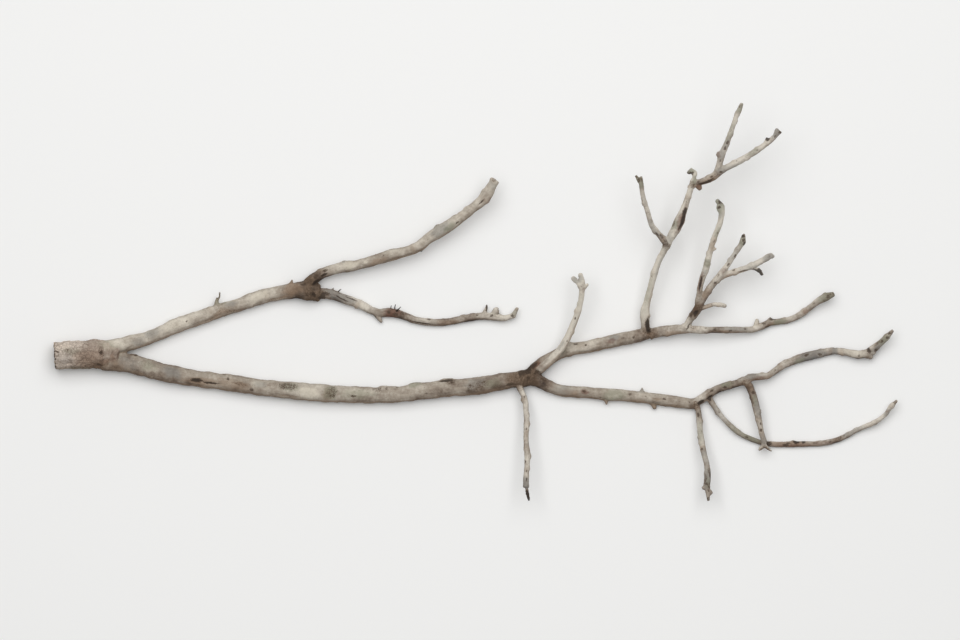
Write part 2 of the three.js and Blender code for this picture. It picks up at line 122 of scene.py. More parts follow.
limbs["upper_spur"] = {
    "growsFrom": "upper_limb", "bark": "limb_bark",
    "paleness": [(0, 0.05), (0.07, 0.1), (0.14, 0.66), (0.22, 0.7), (0.32, 0.52), (0.42, 0.58), (0.5, 0.66),
                 (0.6, 0.68), (0.7, 0.72), (0.84, 0.72), (0.95, 0.8), (1, 0.82)],
    "marks": {
        "scar": [(0.065, 10, 10, 7), (0.11, 25, 7, 5), (0.38, 20, 4, 3, 0.7), (0.74, -25, 6, 3),
                 (0.99, 10, 5, 5, 0.7)],
        "slit": [(0.88, -20, 12, 2, 0.7)],
        "crease": [(0.43, -55, 30, 4), (0.52, -60, 24, 4, 0.8)],
        "knot": [(0.03, 20, 14, 14)],
        "bud": [(0.2, 60, 7, 6), (0.655, 70, 8, 7, 1.2), (0.74, 60, 8, 7, 1.2), (0.81, 60, 8, 7),
                (0.925, 55, 8, 7)],
        "lump": [(0.9, -75, 24, 9, 1.8)],
        "dent": [(0.27, -30, 7, 4, 0.8), (0.62, 10, 7, 4), (0.68, -20, 7, 4), (0.8, 10, 7, 4)],
        "black": [(0.05, -35, 16, 5, 0.9), (0.1, -15, 10, 4, 0.9)],
        "grey": [(0.2, 60, 5, 4), (0.66, 15, 30, 12, 0.9), (0.97, 0, 10, 14, 0.4)],
        "green": [(0.7, -20, 18, 9, 0.8)],
        # the long brown strip low on the right side paints the shade on the spur's underside, over its browner
        # bark
        "brown": [(0.35, -30, 26, 8, 0.8), (0.6, -80, 160, 6, 0.8)],
        "red": [(0.915, -70, 8, 5, 0.35)],
        "pale": [(0.22, 10, 26, 9, 0.8), (0.295, 5, 5, 4)],
    },
}
limbs["upper_twig"] = {
    "growsFrom": "upper_limb", "bark": "twig_bark",
    "paleness": [(0, 0.28), (0.06, 0.34), (0.13, 0.3), (0.22, 0.78), (0.3, 0.5), (0.36, 0.22), (0.43, 0.1),
                 (0.5, 0.5), (0.6, 0.42), (0.75, 0.18), (0.86, 0.56), (0.95, 0.75), (1, 0.8)],
    "marks": {
        "scar": [(0.05, -20, 14, 5), (0.37, 20, 7, 4), (0.4, -10, 8, 5), (0.43, 30, 6, 4), (0.56, 45, 5, 3),
                 (0.66, 10, 4, 2.4, 0.8), (0.79, 10, 4, 3), (0.86, -40, 5, 3), (0.955, -30, 5, 4)],
        "slit": [(0.1, 50, 14, 2, 0.7), (0.13, -20, 22, 2, 0.9), (0.17, 30, 18, 2, 0.8),
                 (0.53, -40, 34, 2, 0.9)],
        "hole": [(0.405, 45, 4, 3)],
        "shade": [(0.01, 0, 14, 20), (0.99, 0, 5, 6, 0.6)],
        "bud": [(0.72, 60, 7, 5)],
        "lump": [(0.885, 75, 9, 9, 1.8)],
        "dent": [(0.48, 0, 6, 4)],
        "black": [(0.3, -75, 10, 6, 0.8), (0.84, 80, 6, 6, 0.8)],
        "grey": [(0.12, 10, 34, 14)],
        "green": [(0.97, 0, 12, 9, 0.5)],
        "brown": [(0.65, -20, 26, 7, 0.7)],
        "red": [(0.385, 10, 20, 14, 0.8)],
        "pale": [(0.23, 0, 16, 7, 0.8), (0.9, 0, 22, 7, 0.6)],
    },
}
limbs["lower_limb"] = {
    "growsFrom": "butt", "bark": "limb_bark",
    "paleness": [(0, 0.47), (0.05, 0.46), (0.1, 0.42), (0.18, 0.42), (0.25, 0.62), (0.32, 0.47),
                 (0.39, 0.61), (0.47, 0.74), (0.53, 0.67), (0.6, 0.54), (0.68, 0.61), (0.75, 0.52),
                 (0.82, 0.47), (0.89, 0.4), (0.95, 0.23), (1, 0.06)],
    "crazed": [(0, 0.3), (0.1, 0.15), (0.2, 0)],
    "marks": {
        "scar": [(0.065, 70, 6, 5), (0.275, 62, 7, 4, 0.8), (0.286, 25, 5, 4), (0.33, 66, 6, 3, 0.8),
                 (0.344, -28, 6, 4), (0.46, -60, 7, 3, 0.7), (0.518, 5, 7, 4, 0.8), (0.532, -14, 6, 5, 0.8),
                 (0.578, -12, 7, 3.5), (0.655, 45, 6, 4, 0.8), (0.68, 60, 6, 3, 0.8),
                 (0.745, -20, 5, 3, 0.7), (0.807, 40, 5, 4), (0.85, 10, 5, 3, 0.8), (0.865, -15, 4, 4, 0.8),
                 (0.88, 20, 5, 3, 0.8), (0.94, -30, 12, 5), (0.97, 30, 12, 6)],
        "slit": [(0.215, -14, 17, 6), (0.248, -22, 20, 3, 0.9), (0.5, 130, 60, 3, 0.6),
                 (0.7, -130, 60, 3, 0.6), (0.795, 55, 20, 4, 0.9)],
        "hole": [(0.985, -5, 9, 5, 0.7)],
        "crease": [(0.03, -48, 30, 7, 0.8), (0.08, -48, 40, 5, 0.6), (0.27, 20, 16, 3, 0.6),
                   (0.317, 2, 18, 5, 1.2), (0.43, -40, 26, 3.5, 0.8)],
        "knot": [(0.06, 78, 12, 9), (0.955, 0, 26, 20, 0.8)],
        "crust": [(0.425, 28, 26, 11, 0.9), (0.528, 10, 16, 15, 0.8), (0.635, 40, 12, 9, 0.7),
                  (0.805, 40, 14, 8, 0.8), (0.845, -20, 12, 9, 0.8), (0.87, 5, 22, 12, 0.7),
                  (0.91, -25, 14, 8, 0.7)],
        "lump": [(0.52, 20, 14, 9, 0.7), (0.65, 68, 14, 9, 1.3), (0.723, 66, 14, 9, 1.3), (0.8, 68, 18, 7),
                 (0.97, -30, 16, 9, 0.8)],
        "dent": [(0.12, 40, 9, 4, 0.7), (0.13, -15, 9, 5), (0.2, 25, 12, 5), (0.418, 25, 7, 7, 0.7),
                 (0.442, 22, 7, 7, 0.7), (0.6, 40, 8, 4, 0.7), (0.63, -10, 9, 5), (0.7, 0, 9, 4, 0.8)],
        "black": [(0.975, -62, 14, 5, 0.7), (0.985, 40, 16, 7, 0.8)],
        "grey": [(0.05, 10, 30, 16, 0.5), (0.155, 14, 24, 14, 0.9), (0.36, 20, 18, 8, 0.6),
                 (0.86, 20, 26, 12, 0.6)],
        "green": [(0.1, 15, 22, 12, 0.6), (0.43, 25, 22, 12, 0.7), (0.525, 10, 18, 16),
                  (0.585, 5, 40, 12, 0.6), (0.723, 55, 14, 10, 0.9), (0.9, 0, 20, 12, 0.6)],
        # the long brown strips low on the right side paint the shade on the limb's underside, over its browner
        # bark
        "brown": [(0.03, -20, 30, 14, 0.7), (0.23, -18, 50, 10, 0.8), (0.25, -75, 180, 11, 0.8),
                  (0.3, -10, 40, 13, 0.6), (0.52, -5, 14, 13, 0.8), (0.6, -75, 200, 10, 0.8),
                  (0.85, -70, 120, 10, 0.8)],
        "pale": [(0.105, 0, 18, 9, 0.6), (0.355, 20, 16, 10, 0.7), (0.475, -8, 26, 14),
                 (0.59, 20, 34, 9, 0.6)],
    },
}
limbs["drop_twig"] = {
    "growsFrom": "lower_limb", "bark": "twig_bark",
    "paleness": [(0, 0.2), (0.08, 0.55), (0.25, 0.64), (0.4, 0.68), (0.6, 0.5), (0.75, 0.76), (0.84, 0.42),
                 (1, 0.05)],
    "marks": {
        "scar": [(0.14, 20, 3.5, 2.5, 0.8), (0.41, 0, 4, 3, 0.8), (0.68, -50, 4, 3),
                 (0.76, 0, 3.5, 3, 0.8)],
        "slit": [(0.83, 10, 7, 2, 0.8)],
        "shade": [(0, 0, 12, 16)],
        "bud": [(0.15, -30, 7, 5, 0.8), (0.29, 50, 7, 5), (0.64, 60, 7, 5, 1.2), (0.73, 50, 7, 5)],
        "lump": [(0.95, 0, 26, 16, 0.7)],
        "dent": [(0.5, -30, 5, 3)],
        "black": [(0.97, 0, 20, 12)],
        "grey": [(0.86, 0, 16, 12)],
        "brown": [(0.46, 0, 16, 6, 0.5)],
    },
}
limbs["middle_limb"] = {
    "growsFrom": "lower_limb", "bark": "limb_bark",
    "paleness": [(0, 0.02), (0.08, 0.06), (0.2, 0.44), (0.35, 0.6), (0.5, 0.7), (0.65, 0.56), (0.8, 0.58),
                 (0.93, 0.34), (1, 0.2)],
    "marks": {
        "scar": [(0.06, -20, 9, 5), (0.43, 30, 5, 4), (0.5, 14, 4, 3), (0.78, 10, 4, 3, 0.7),
                 (0.87, -5, 4, 3)],
        "shade": [(0.02, 0, 16, 24, 0.9)],
        "crease": [(0.3, -58, 30, 4, 0.8), (0.6, -58, 46, 4, 0.8)],
        "bud": [(0.35, -60, 8, 6)],
        "lump": [(0.06, 20, 14, 9, 0.8)],
        "dent": [(0.16, 10, 7, 5), (0.6, 0, 7, 4)],
        "black": [(0.03, 55, 20, 9, 0.8), (0.085, 35, 12, 7, 0.8)],
        "grey": [(0.72, 30, 12, 9)],
        "green": [(0.3, 10, 16, 8, 0.5)],
        # the long brown strip low on the right side paints the shade on the limb's underside, over its browner
        # bark
        "brown": [(0.5, -75, 130, 7, 0.8)],
        "red": [(0.1, 30, 12, 9, 0.6), (0.7, 5, 10, 6, 0.6)],
    },
}
limbs["crossing_twig"] = {
    "growsFrom": "middle_limb", "bark": "shoot_bark",
    "paleness": [(0, 0.32), (0.1, 0.5), (0.3, 0.88), (0.6, 0.94), (0.8, 0.88), (0.92, 0.76), (1, 0.6)],
    "marks": {
        "scar": [(0.36, -20, 3.5, 2.5, 0.8), (0.57, 10, 4, 3), (0.86, 0, 4, 3, 0.7), (0.93, -60, 4, 4, 0.8),
                 (0.97, 30, 4, 3, 0.5)],
        "bud": [(0.7, 50, 6, 5, 0.8)],
        "lump": [(0.93, -70, 5, 5, 0.9), (0.94, 85, 5, 5, 0.9), (0.975, 40, 6, 6, 0.8)],
        "dent": [(0.25, 10, 6, 4)],
        "grey": [(0.3, 30, 14, 5, 0.7), (0.55, -20, 20, 6, 0.3), (0.94, 0, 12, 10, 0.9)],
        "green": [(0.75, 20, 26, 7, 0.3)],
        "brown": [(0.15, -60, 40, 6, 0.9), (0.45, -60, 50, 5, 0.9)],
        "red": [(0.83, -30, 8, 4, 0.5)],
    },
}
limbs["middle_limb_end"] = {
    "growsFrom": "middle_limb", "bark": "twig_bark",
    "paleness": [(0, 0.3), (0.05, 0.35), (0.15, 0.5), (0.25, 0.78), (0.34, 0.32), (0.44, 0.4), (0.55, 0.76),
                 (0.64, 0.17), (0.74, 0.54), (0.85, 0.64), (0.93, 0.58), (1, 0.42)],
    "marks": {
        "scar": [(0.3, 30, 4, 3, 0.8), (0.345, 0, 6, 4), (0.425, -20, 5, 3), (0.5, 10, 4, 3),
                 (0.6, -10, 5, 4), (0.64, 45, 6, 5), (0.89, 20, 4, 3, 0.8), (0.97, 0, 6, 4)],
        "shade": [(0.04, -10, 14, 8, 0.7), (0.24, 20, 9, 8, 0.6), (0.955, -40, 16, 4, 0.7),
                  (0.98, 20, 8, 5, 0.7), (1, 0, 5, 9, 0.7)],
        "lump": [(0.06, 10, 12, 7), (0.08, -15, 46, 11, 0.9), (0.1, -50, 12, 6, 0.8),
                 (0.1, 30, 70, 22, 0.9), (0.1, -85, 90, 10, 1.1), (0.17, 60, 14, 7, 0.8),
                 (0.2, 10, 10, 6, 0.8), (0.28, -30, 16, 9, 0.7), (0.95, 0, 30, 16, 0.8)],
        "dent": [(0.12, 0, 7, 4), (0.76, 0, 6, 4)],
        "black": [(0.655, 60, 7, 5, 0.8)],
        "grey": [(0.45, 20, 30, 8, 0.7)],
        "green": [(0.685, -20, 18, 8), (0.95, 0, 16, 9), (0.98, 10, 20, 16)],
        "brown": [(0.15, -50, 30, 5, 0.8), (0.42, -40, 26, 6, 0.7), (0.66, -60, 20, 5, 0.9),
                  (0.83, 0, 12, 8, 0.6)],
        "red": [(0.83, -10, 9, 5, 0.45)],
        "pale": [(0.565, 30, 9, 8)],
    },
}
limbs["tall_shoot"] = {
    "growsFrom": "middle_limb", "bark": "shoot_bark",
    "paleness": [(0, 0.2), (0.05, 0.5), (0.12, 0.92), (0.3, 1.05), (0.45, 0.8), (0.6, 0.8), (0.7, 0.72),
                 (0.8, 0.68), (0.9, 0.78), (1, 0.94)],
    "marks": {
        "scar": [(0.1, -50, 8, 3, 0.8), (0.34, 30, 3.5, 2.5, 0.7), (0.53, 60, 6, 5), (0.66, -45, 10, 4),
                 (0.8, 0, 4, 3, 0.7), (0.9, -30, 5, 3, 0.8)],
        "slit": [(0.055, -46, 22, 8, 1.2), (0.7, -40, 28, 5)],
        "shade": [(0.03, -20, 12, 12, 0.9)],
        "bud": [(0.46, 50, 7, 5, 0.8)],
        "lump": [(0.1, 40, 26, 10, 0.6), (0.63, 20, 46, 18, 0.8), (0.68, -40, 30, 9, 0.8),
                 (0.965, -30, 9, 9, 0.9), (0.975, 80, 9, 7, 1.2)],
        "dent": [(0.2, 10, 6, 4), (0.84, 20, 6, 4)],
        "black": [(0.66, 55, 10, 5, 0.5), (0.745, -30, 12, 7, 0.9), (0.97, 60, 8, 6, 0.7)],
        "grey": [(0.4, -40, 40, 5, 0.6), (0.56, 30, 26, 9, 0.6), (0.985, 80, 7, 6, 0.9)],
        "green": [(0.25, 20, 44, 8, 0.5), (0.66, 40, 14, 9, 0.9), (0.93, -20, 12, 6, 0.7),
                  (0.98, 60, 7, 6, 0.8), (0.985, 30, 8, 9)],
        "brown": [(0.05, -40, 26, 9, 0.9), (0.2, -60, 40, 5, 0.7)],
        "red": [(0.7, -35, 34, 9, 0.8)],
    },
}
limbs["tall_shoot_left_twig"] = {
    "growsFrom": "tall_shoot", "bark": "twig_bark",
    "paleness": [(0, 0.15), (0.12, 0.38), (0.25, 0.72), (0.45, 0.8), (0.7, 0.76), (0.85, 0.55), (1, 0.35)],
    "marks": {
        "scar": [(0.15, -20, 7, 4), (0.5, -10, 3.5, 2.5, 0.7), (0.93, 20, 6, 4)],
        "slit": [(0.2, 30, 9, 2, 0.8)],
        "shade": [(0.05, 0, 14, 10, 0.9), (0.93, -40, 6, 3, 0.8), (0.985, 0, 5, 8, 0.8)],
        "bud": [(0.62, 50, 6, 4)],
        "lump": [(0.06, 0, 18, 12, 0.8)],
        "dent": [(0.35, 10, 5, 3)],
        "grey": [(0.3, 20, 26, 8, 0.7), (0.7, 0, 16, 5, 0.5)],
        "green": [(0.9, 0, 14, 9), (0.97, 0, 10, 9, 0.9)],
    },
}
limbs["tall_shoot_right_branch"] = {
    "growsFrom": "tall_shoot", "bark": "twig_bark",
    "paleness": [(0, 0.5), (0.15, 0.48), (0.3, 0.56), (0.42, 0.78), (0.6, 0.86), (0.8, 0.8), (0.92, 0.7),
                 (1, 0.5)],
    "marks": {
        "scar": [(0.08, 20, 5, 3), (0.22, 10, 5, 4, 0.9), (0.32, -20, 5, 4), (0.5, 20, 3.5, 2.5, 0.7),
                 (0.72, 0, 4, 3, 0.7), (0.93, -20, 5, 3, 0.8)],
        "slit": [(0.15, -40, 22, 4, 0.9)],
        "shade": [(0.02, 0, 9, 10, 0.7)],
        "bud": [(0.6, -60, 6, 5)],
        "lump": [(0.14, -85, 44, 8, 1.2), (0.97, 60, 6, 5, 0.8)],
        "black": [(0.86, 60, 7, 6, 0.9), (0.99, 0, 5, 7, 0.6)],
        "grey": [(0.35, 0, 26, 9, 0.6), (0.45, -40, 20, 5, 0.7), (0.95, 0, 16, 12, 0.9)],
        "green": [(0.68, 20, 22, 7, 0.5)],
        "brown": [(0.14, -80, 44, 6, 0.9), (0.2, -20, 24, 7, 0.9)],
        "red": [(0.09, -60, 8, 6, 0.5)],
    },
}
limbs["tall_shoot_top_twig"] = {
    "growsFrom": "tall_shoot_right_branch", "bark": "twig_bark",
    "paleness": [(0, 0.45), (0.15, 0.7), (0.4, 0.72), (0.6, 0.74), (0.85, 0.78), (1, 0.55)],
    "marks": {
        "scar": [(0.2, -20, 5, 3, 0.8), (0.38, -30, 6, 4), (0.46, -20, 6, 4), (0.62, 10, 3.5, 2.5, 0.8),
                 (0.96, 20, 5, 4, 0.8)],
        "shade": [(0.02, 0, 8, 9, 0.6)],
        "bud": [(0.28, 50, 7, 6), (0.75, -60, 6, 4, 0.8)],
        "grey": [(0.3, 0, 22, 8, 0.6), (0.42, 0, 18, 7, 0.6)],
        "green": [(0.6, 20, 30, 7, 0.6), (0.93, 0, 12, 9, 0.9)],
        "red": [(0.27, 30, 7, 5, 0.5)],
    },
}
limbs["second_shoot_base"] = {
    "growsFrom": "middle_limb_end", "bark": "twig_bark",
    "paleness": [(0, 0.72), (0.25, 0.7), (0.45, 0.5), (0.65, 0.2), (1, 0.16)],
    "marks": {
        "scar": [(0.6, 30, 8, 5)],
        "slit": [(0.25, -40, 10, 2, 0.8)],
        "hole": [(0.78, -30, 7, 5, 0.7)],
        "black": [(0.75, -12, 9, 8, 0.9)],
        "red": [(0.85, 20, 8, 6, 0.7)],
    },
}
limbs["second_shoot_long"] = {
    "growsFrom": "second_shoot_base", "bark": "shoot_bark",
    "paleness": [(0, 0.1), (0.08, 0.38), (0.25, 0.48), (0.36, 0.78), (0.5, 0.78), (0.62, 0.68),
                 (0.75, 0.86), (0.9, 0.76), (1, 0.6)],
    "marks": {
        "scar": [(0.3, -20, 5, 3, 0.8), (0.62, 0, 5, 3, 0.8), (0.7, -30, 3.5, 3, 0.8), (0.93, 20, 5, 4)],
        "slit": [(0.23, 20, 20, 4, 1.1)],
        "shade": [(0.02, 0, 10, 10, 0.9)],
        "bud": [(0.5, 60, 6, 5)],
        "lump": [(0.94, 0, 30, 14, 0.8)],
        "dent": [(0.425, 0, 2.4, 16, 0.9)],
        "black": [(0.97, -50, 6, 6, 0.8)],
        "grey": [(0.33, 30, 16, 8, 0.6), (0.88, 20, 16, 6, 0.7), (0.98, 0, 12, 12, 0.8)],
        "green": [(0.42, 0, 9, 12), (0.7, -30, 20, 8, 0.6), (0.95, 30, 26, 10)],
        "brown": [(0.6, -10, 18, 8, 0.9)],
        "red": [(0.24, 25, 24, 7, 0.7)],
    },
}
limbs["second_shoot_right"] = {
    "growsFrom": "second_shoot_base", "bark": "twig_bark",
    "paleness": [(0, 0.12), (0.12, 0.35), (0.3, 0.56), (0.45, 0.74), (0.62, 0.8), (0.8, 0.8), (0.92, 0.74),
                 (1, 0.5)],
    "marks": {
        "scar": [(0.35, -20, 5, 4), (0.44, 20, 4, 3, 0.8), (0.6, -10, 6, 4), (0.73, -30, 5, 4),
                 (0.93, -20, 5, 4)],
        "shade": [(0.02, 0, 12, 12, 0.8), (0.985, 0, 6, 8, 0.9)],
        "bud": [(0.66, 50, 6, 5)],
        "lump": [(0.9, -50, 8, 6, 0.7), (0.95, 30, 12, 8, 0.9)],
        "black": [(0.9, -50, 5, 3, 0.8), (0.97, 30, 5, 4, 0.9)],
        "grey": [(0.75, 20, 24, 8, 0.6)],
        "green": [(0.92, 0, 12, 9)],
        "brown": [(0.2, 0, 20, 9, 0.7)],
        "red": [(0.52, 0, 9, 5, 0.5)],
        "pale": [(0.93, -20, 6, 5, 0.8)],
    },
}
limbs["second_shoot_side"] = {
    "growsFrom": "second_shoot_right", "bark": "twig_bark",
    "paleness": [(0, 0.6), (0.15, 0.76), (0.4, 0.96), (0.7, 0.94), (0.9, 0.86), (1, 0.7)],
    "marks": {
        "scar": [(0.3, 40, 4, 3), (0.95, 10, 4, 3, 0.7)],
        "slit": [(0.45, -40, 16, 1.8, 0.7)],
        "bud": [(0.55, 50, 6, 4)],
        "lump": [(0.25, -85, 50, 8, 0.9), (0.66, -80, 18, 9, 0.8), (0.95, 60, 7, 6, 0.9),
                 (0.98, -55, 6, 6, 0.9)],
        "dent": [(0.99, 0, 5, 3)],
        "black": [(0.66, -82, 15, 6)],
        "grey": [(0.5, 30, 26, 7, 0.3), (0.92, 0, 14, 10, 0.9)],
        "brown": [(0.3, -50, 30, 5, 0.9)],
        "red": [(0.8, 0, 9, 5, 0.35)],
    },
}
limbs["second_shoot_spur"] = {
    "growsFrom": "second_shoot_base", "bark": "twig_bark",
    "paleness": [(0, 0.3), (0.25, 0.5), (0.6, 0.76), (1, 0.74)],
    "marks": {
        "scar": [(0.5, 20, 3, 2, 0.7), (0.92, 0, 3, 3, 0.6)],
        "lump": [(0.5, 0, 20, 12, 0.5), (0.93, 0, 12, 12, 0.8)],
        "brown": [(0.35, 0, 16, 6, 0.9)],
    },
}
limbs["right_limb"] = {
    "growsFrom": "lower_limb", "bark": "limb_bark",
    "paleness": [(0, 0.02), (0.07, 0.2), (0.15, 0.62), (0.25, 0.57), (0.38, 0.52), (0.5, 0.69), (0.6, 0.61),
                 (0.75, 0.59), (0.9, 0.52), (1, 0.44)],
    "marks": {
        "scar": [(0.07, 30, 10, 5), (0.32, 12, 6, 4), (0.42, -30, 4, 3, 0.8), (0.592, 15, 4, 4),
                 (0.68, 0, 4, 3, 0.8), (0.8, 20, 5, 3), (0.94, 10, 4, 3, 0.8)],
        "shade": [(0, 0, 18, 24, 0.9)],
        "crease": [(0.25, -58, 36, 4, 0.8), (0.75, 20, 12, 3, 0.7), (0.85, -58, 32, 4, 0.8)],
        "lump": [(0.59, 15, 11, 11, 0.5), (0.86, -85, 70, 12, 0.9)],
        "dent": [(0.3, -30, 8, 4), (0.59, 15, 8, 8), (0.87, -10, 8, 4)],
        "grey": [(0.2, 10, 28, 12, 0.6), (0.65, 60, 9, 9, 0.8)],
        "green": [(0.5, 10, 32, 12, 0.8)],
        # the long brown strip low on the right side paints the shade on the limb's underside, over its browner
        # bark
        "brown": [(0.23, -20, 30, 9, 0.8), (0.5, -75, 170, 7, 0.8)],
        "red": [(0.325, 5, 10, 6, 0.7)],
        "pale": [(0.48, 0, 18, 6, 0.6)],
    },
}
limbs["right_limb_end"] = {
    "growsFrom": "right_limb", "bark": "twig_bark",
    "paleness": [(0, 0.88), (0.08, 0.38), (0.15, 0.24), (0.25, 0.23), (0.33, 0.52), (0.42, 0.62),
                 (0.5, 0.42), (0.6, 0.14), (0.68, 0.46), (0.78, 0.42), (0.86, 0.54), (0.93, 0.54),
                 (1, 0.45)],
    "marks": {
        "scar": [(0.1, 20, 6, 4), (0.16, -10, 6, 4), (0.2, 30, 5, 4, 0.8), (0.4, 10, 4, 3, 0.8),
                 (0.56, 20, 6, 4), (0.62, -10, 6, 4), (0.8, -30, 4, 3, 0.8), (0.88, -30, 6, 5),
                 (0.93, 10, 5, 4), (0.96, -20, 5, 4), (0.98, 30, 5, 4)],
        "slit": [(0.03, -45, 12, 5), (0.075, -50, 10, 4)],
        "shade": [(0.02, -60, 12, 8, 0.9), (0.255, -30, 14, 9, 0.8), (0.91, 40, 12, 4, 0.8)],
        "bud": [(0.46, 60, 7, 5)],
        "lump": [(0.24, 50, 9, 7), (0.62, 0, 60, 16, 0.4), (0.83, -85, 40, 9, 1.5), (0.9, 20, 36, 16, 0.6)],
        "dent": [(0.59, 0, 7, 4), (0.69, 0, 2.4, 18)],
        "black": [(0.855, 45, 7, 5, 0.8)],
        "grey": [(0.3, 20, 26, 9, 0.6), (0.585, 0, 36, 12), (0.69, 0, 7, 16), (0.9, -20, 20, 9, 0.7)],
        "green": [(0.17, 30, 18, 8, 0.8), (0.52, -30, 16, 6), (0.94, 0, 18, 9, 0.9)],
        "brown": [(0.33, -40, 26, 6)],
        "red": [(0.32, -30, 16, 6, 0.45)],
        "pale": [(0.26, -30, 4, 3), (0.77, 0, 30, 9, 0.8)],
    },
}
limbs["hanging_twig"] = {
    "growsFrom": "right_limb", "bark": "twig_bark",
    "paleness": [(0, 0.15), (0.12, 0.38), (0.25, 0.7), (0.42, 0.7), (0.55, 0.66), (0.7, 0.46), (0.85, 0.4),
                 (1, 0.4)],
    "marks": {
        "scar": [(0.13, -10, 8, 4), (0.3, 30, 3.5, 2.5, 0.7), (0.48, -30, 4, 3), (0.83, -10, 5, 4),
                 (0.87, 40, 6, 3, 0.9), (0.9, 10, 4, 3)],
        "shade": [(0.03, 0, 14, 12, 0.9), (0.71, 40, 10, 4, 0.8), (0.79, -35, 15, 4, 0.9),
                  (0.84, 20, 8, 5, 0.8)],
        "bud": [(0.36, -50, 6, 4)],
        "lump": [(0.4, 0, 70, 16, 0.5), (0.78, 10, 36, 16, 0.8), (0.92, 50, 7, 6, 0.8)],
        "dent": [(0.6, 10, 5, 3)],
        "black": [(0.74, 60, 9, 3, 0.7), (0.98, 0, 5, 7, 0.6)],
        "grey": [(0.55, 20, 24, 8, 0.6), (0.77, 0, 24, 10)],
        "green": [(0.3, 0, 30, 7, 0.6), (0.82, 20, 14, 6, 0.7)],
        "brown": [(0.475, 0, 8, 12)],
    },
}
limbs["sweeping_twig"] = {
    "growsFrom": "right_limb_end", "bark": "twig_bark",
    "paleness": [(0, 0.35), (0.06, 0.55), (0.13, 0.72), (0.22, 0.52), (0.3, 0.28), (0.4, 0.36), (0.5, 0.35),
                 (0.6, 0.4), (0.68, 0.2), (0.78, 0.7), (0.9, 0.8), (1, 0.85)],
    "marks": {
        "scar": [(0.09, 20, 4, 3, 0.8), (0.26, -10, 5, 3), (0.45, 20, 6, 3), (0.64, -10, 5, 3, 0.8),
                 (0.71, 20, 4, 3, 0.8)],
        "shade": [(0.01, 0, 9, 9, 0.7), (0.57, 20, 12, 4, 0.8), (0.68, 15, 18, 5, 0.9),
                  (0.99, 0, 7, 8, 0.8)],
        "bud": [(0.77, 50, 7, 4), (0.86, -50, 6, 4)],
        "lump": [(0.97, 0, 10, 9, 0.6)],
        "dent": [(0.16, 0, 6, 4)],
        "black": [(0.36, 0, 12, 6, 0.8), (0.44, -20, 8, 4, 0.7), (0.487, 45, 9, 5), (0.52, 40, 6, 4, 0.9)],
        "grey": [(0.1, 0, 26, 7, 0.6), (0.75, 20, 30, 7, 0.6), (0.93, 0, 10, 8, 0.8)],
        "green": [(0.2, 0, 30, 8, 0.7), (0.28, 10, 26, 8, 0.9)],
        "brown": [(0.45, 0, 60, 9, 0.7)],
        "red": [(0.47, -20, 50, 5, 0.45), (0.6, 0, 20, 5, 0.45), (0.935, 0, 7, 5, 0.4)],
    },
}
limbs["right_crossing_twig"] = {
    "growsFrom": "right_limb_end", "bark": "twig_bark",
    "paleness": [(0, 0.2), (0.12, 0.22), (0.3, 0.32), (0.5, 0.55), (0.75, 0.58), (0.9, 0.66), (1, 0.3)],
    "marks": {
        "scar": [(0.2, 20, 5, 4), (0.6, 20, 4, 3), (0.68, -10, 5, 4), (0.95, 20, 4, 3)],
        "shade": [(0.1, -10, 14, 9, 0.8), (0.3, -40, 12, 5, 0.7), (0.93, -60, 9, 8)],
        "bud": [(0.45, 50, 6, 4)],
        "lump": [(0.3, -85, 44, 8), (0.5, 0, 90, 12, 0.35)],
        "grey": [(0.4, 20, 22, 8, 0.7), (0.8, 0, 16, 8, 0.6)],
        "green": [(0.3, 0, 14, 6, 0.7)],
        "brown": [(0.75, 0, 18, 7, 0.6)],
    },
}

# how the limbs grow together into one skin, lengths in metres
skin = {
    "voxel": 0.8 * mm,
    "overlap": 0.4 * mm,  # closes the gaps between the limbs
    "smoothSteps": 90,
    "tintSteps": 50,
    "fullSmoothGirth": 18 * mm,  # a limb with this radius is smoothed at full strength
    "leastSmoothing": 0.03,
    "sawnEdgeKept": 8 * mm,  # the sawn edge stays crisp over this length
    "traceStep": 4 * mm,
    "traceCuts": 3,  # in each edge that is longer than that
    "ringStep": 1.6,  # in trace steps
    "ringPoints": 5,  # a ring with no more points than this is left out
    "stubOut": 1.6,  # what stands out this many girths from a ring is a stub
    "joinReach": 1.2 * mm,
    "forkReach": 2.2,  # the pattern fades over this many girths from a fork
    "paintReach": 1.7,  # a mark near a fork runs on over the next limb, this many girths from its own axis
    "stubReach": 1.4,  # beyond this many girths from the axis a stub keeps its shape
    "shrinkBack": 0.2 * mm,  # taken off again once they are one
    "weldDistance": 0.001 * mm,
    "nearestSamples": 8,
    "limbGap": 1.7,  # keeps the limbs' own patterns apart
}


# the socket of that name or number; where several share a name, the one in use
def findSocket(sockets, key):
    return next((s for s in sockets if s.name == key and s.enabled), None) or sockets[key]


def addNode(tree, kind, inputs=None, **settings):
    made = tree.nodes.new(kind)
    for name, value in settings.items():
        setattr(made, name, value)
    for key, value in (inputs or {}).items():
        socket = findSocket(made.inputs, key)
        if isinstance(value, bpy.types.NodeSocket):
            tree.links.new(value, socket)
        else:
            socket.default_value = value
    return made


def maths(tree, operation, *values):
    return addNode(tree, "ShaderNodeMath", dict(enumerate(values)), operation=operation).outputs[0]


def plus(tree, first, *others):
    for value in others:
        first = maths(tree, "ADD", first, value)
    return first


def times(tree, first, *others):
    for value in others:
        first = maths(tree, "MULTIPLY", first, value)
    return first


def minus(tree, first, second):
    return maths(tree, "SUBTRACT", first, second)


def vectorMaths(tree, operation, first, second=None):
    inputs = {0: first, "Scale" if operation == "SCALE" else 1: second}
    inputs = {key: value for key, value in inputs.items() if value is not None}
    return addNode(tree, "ShaderNodeVectorMath", inputs, operation=operation).outputs[0]


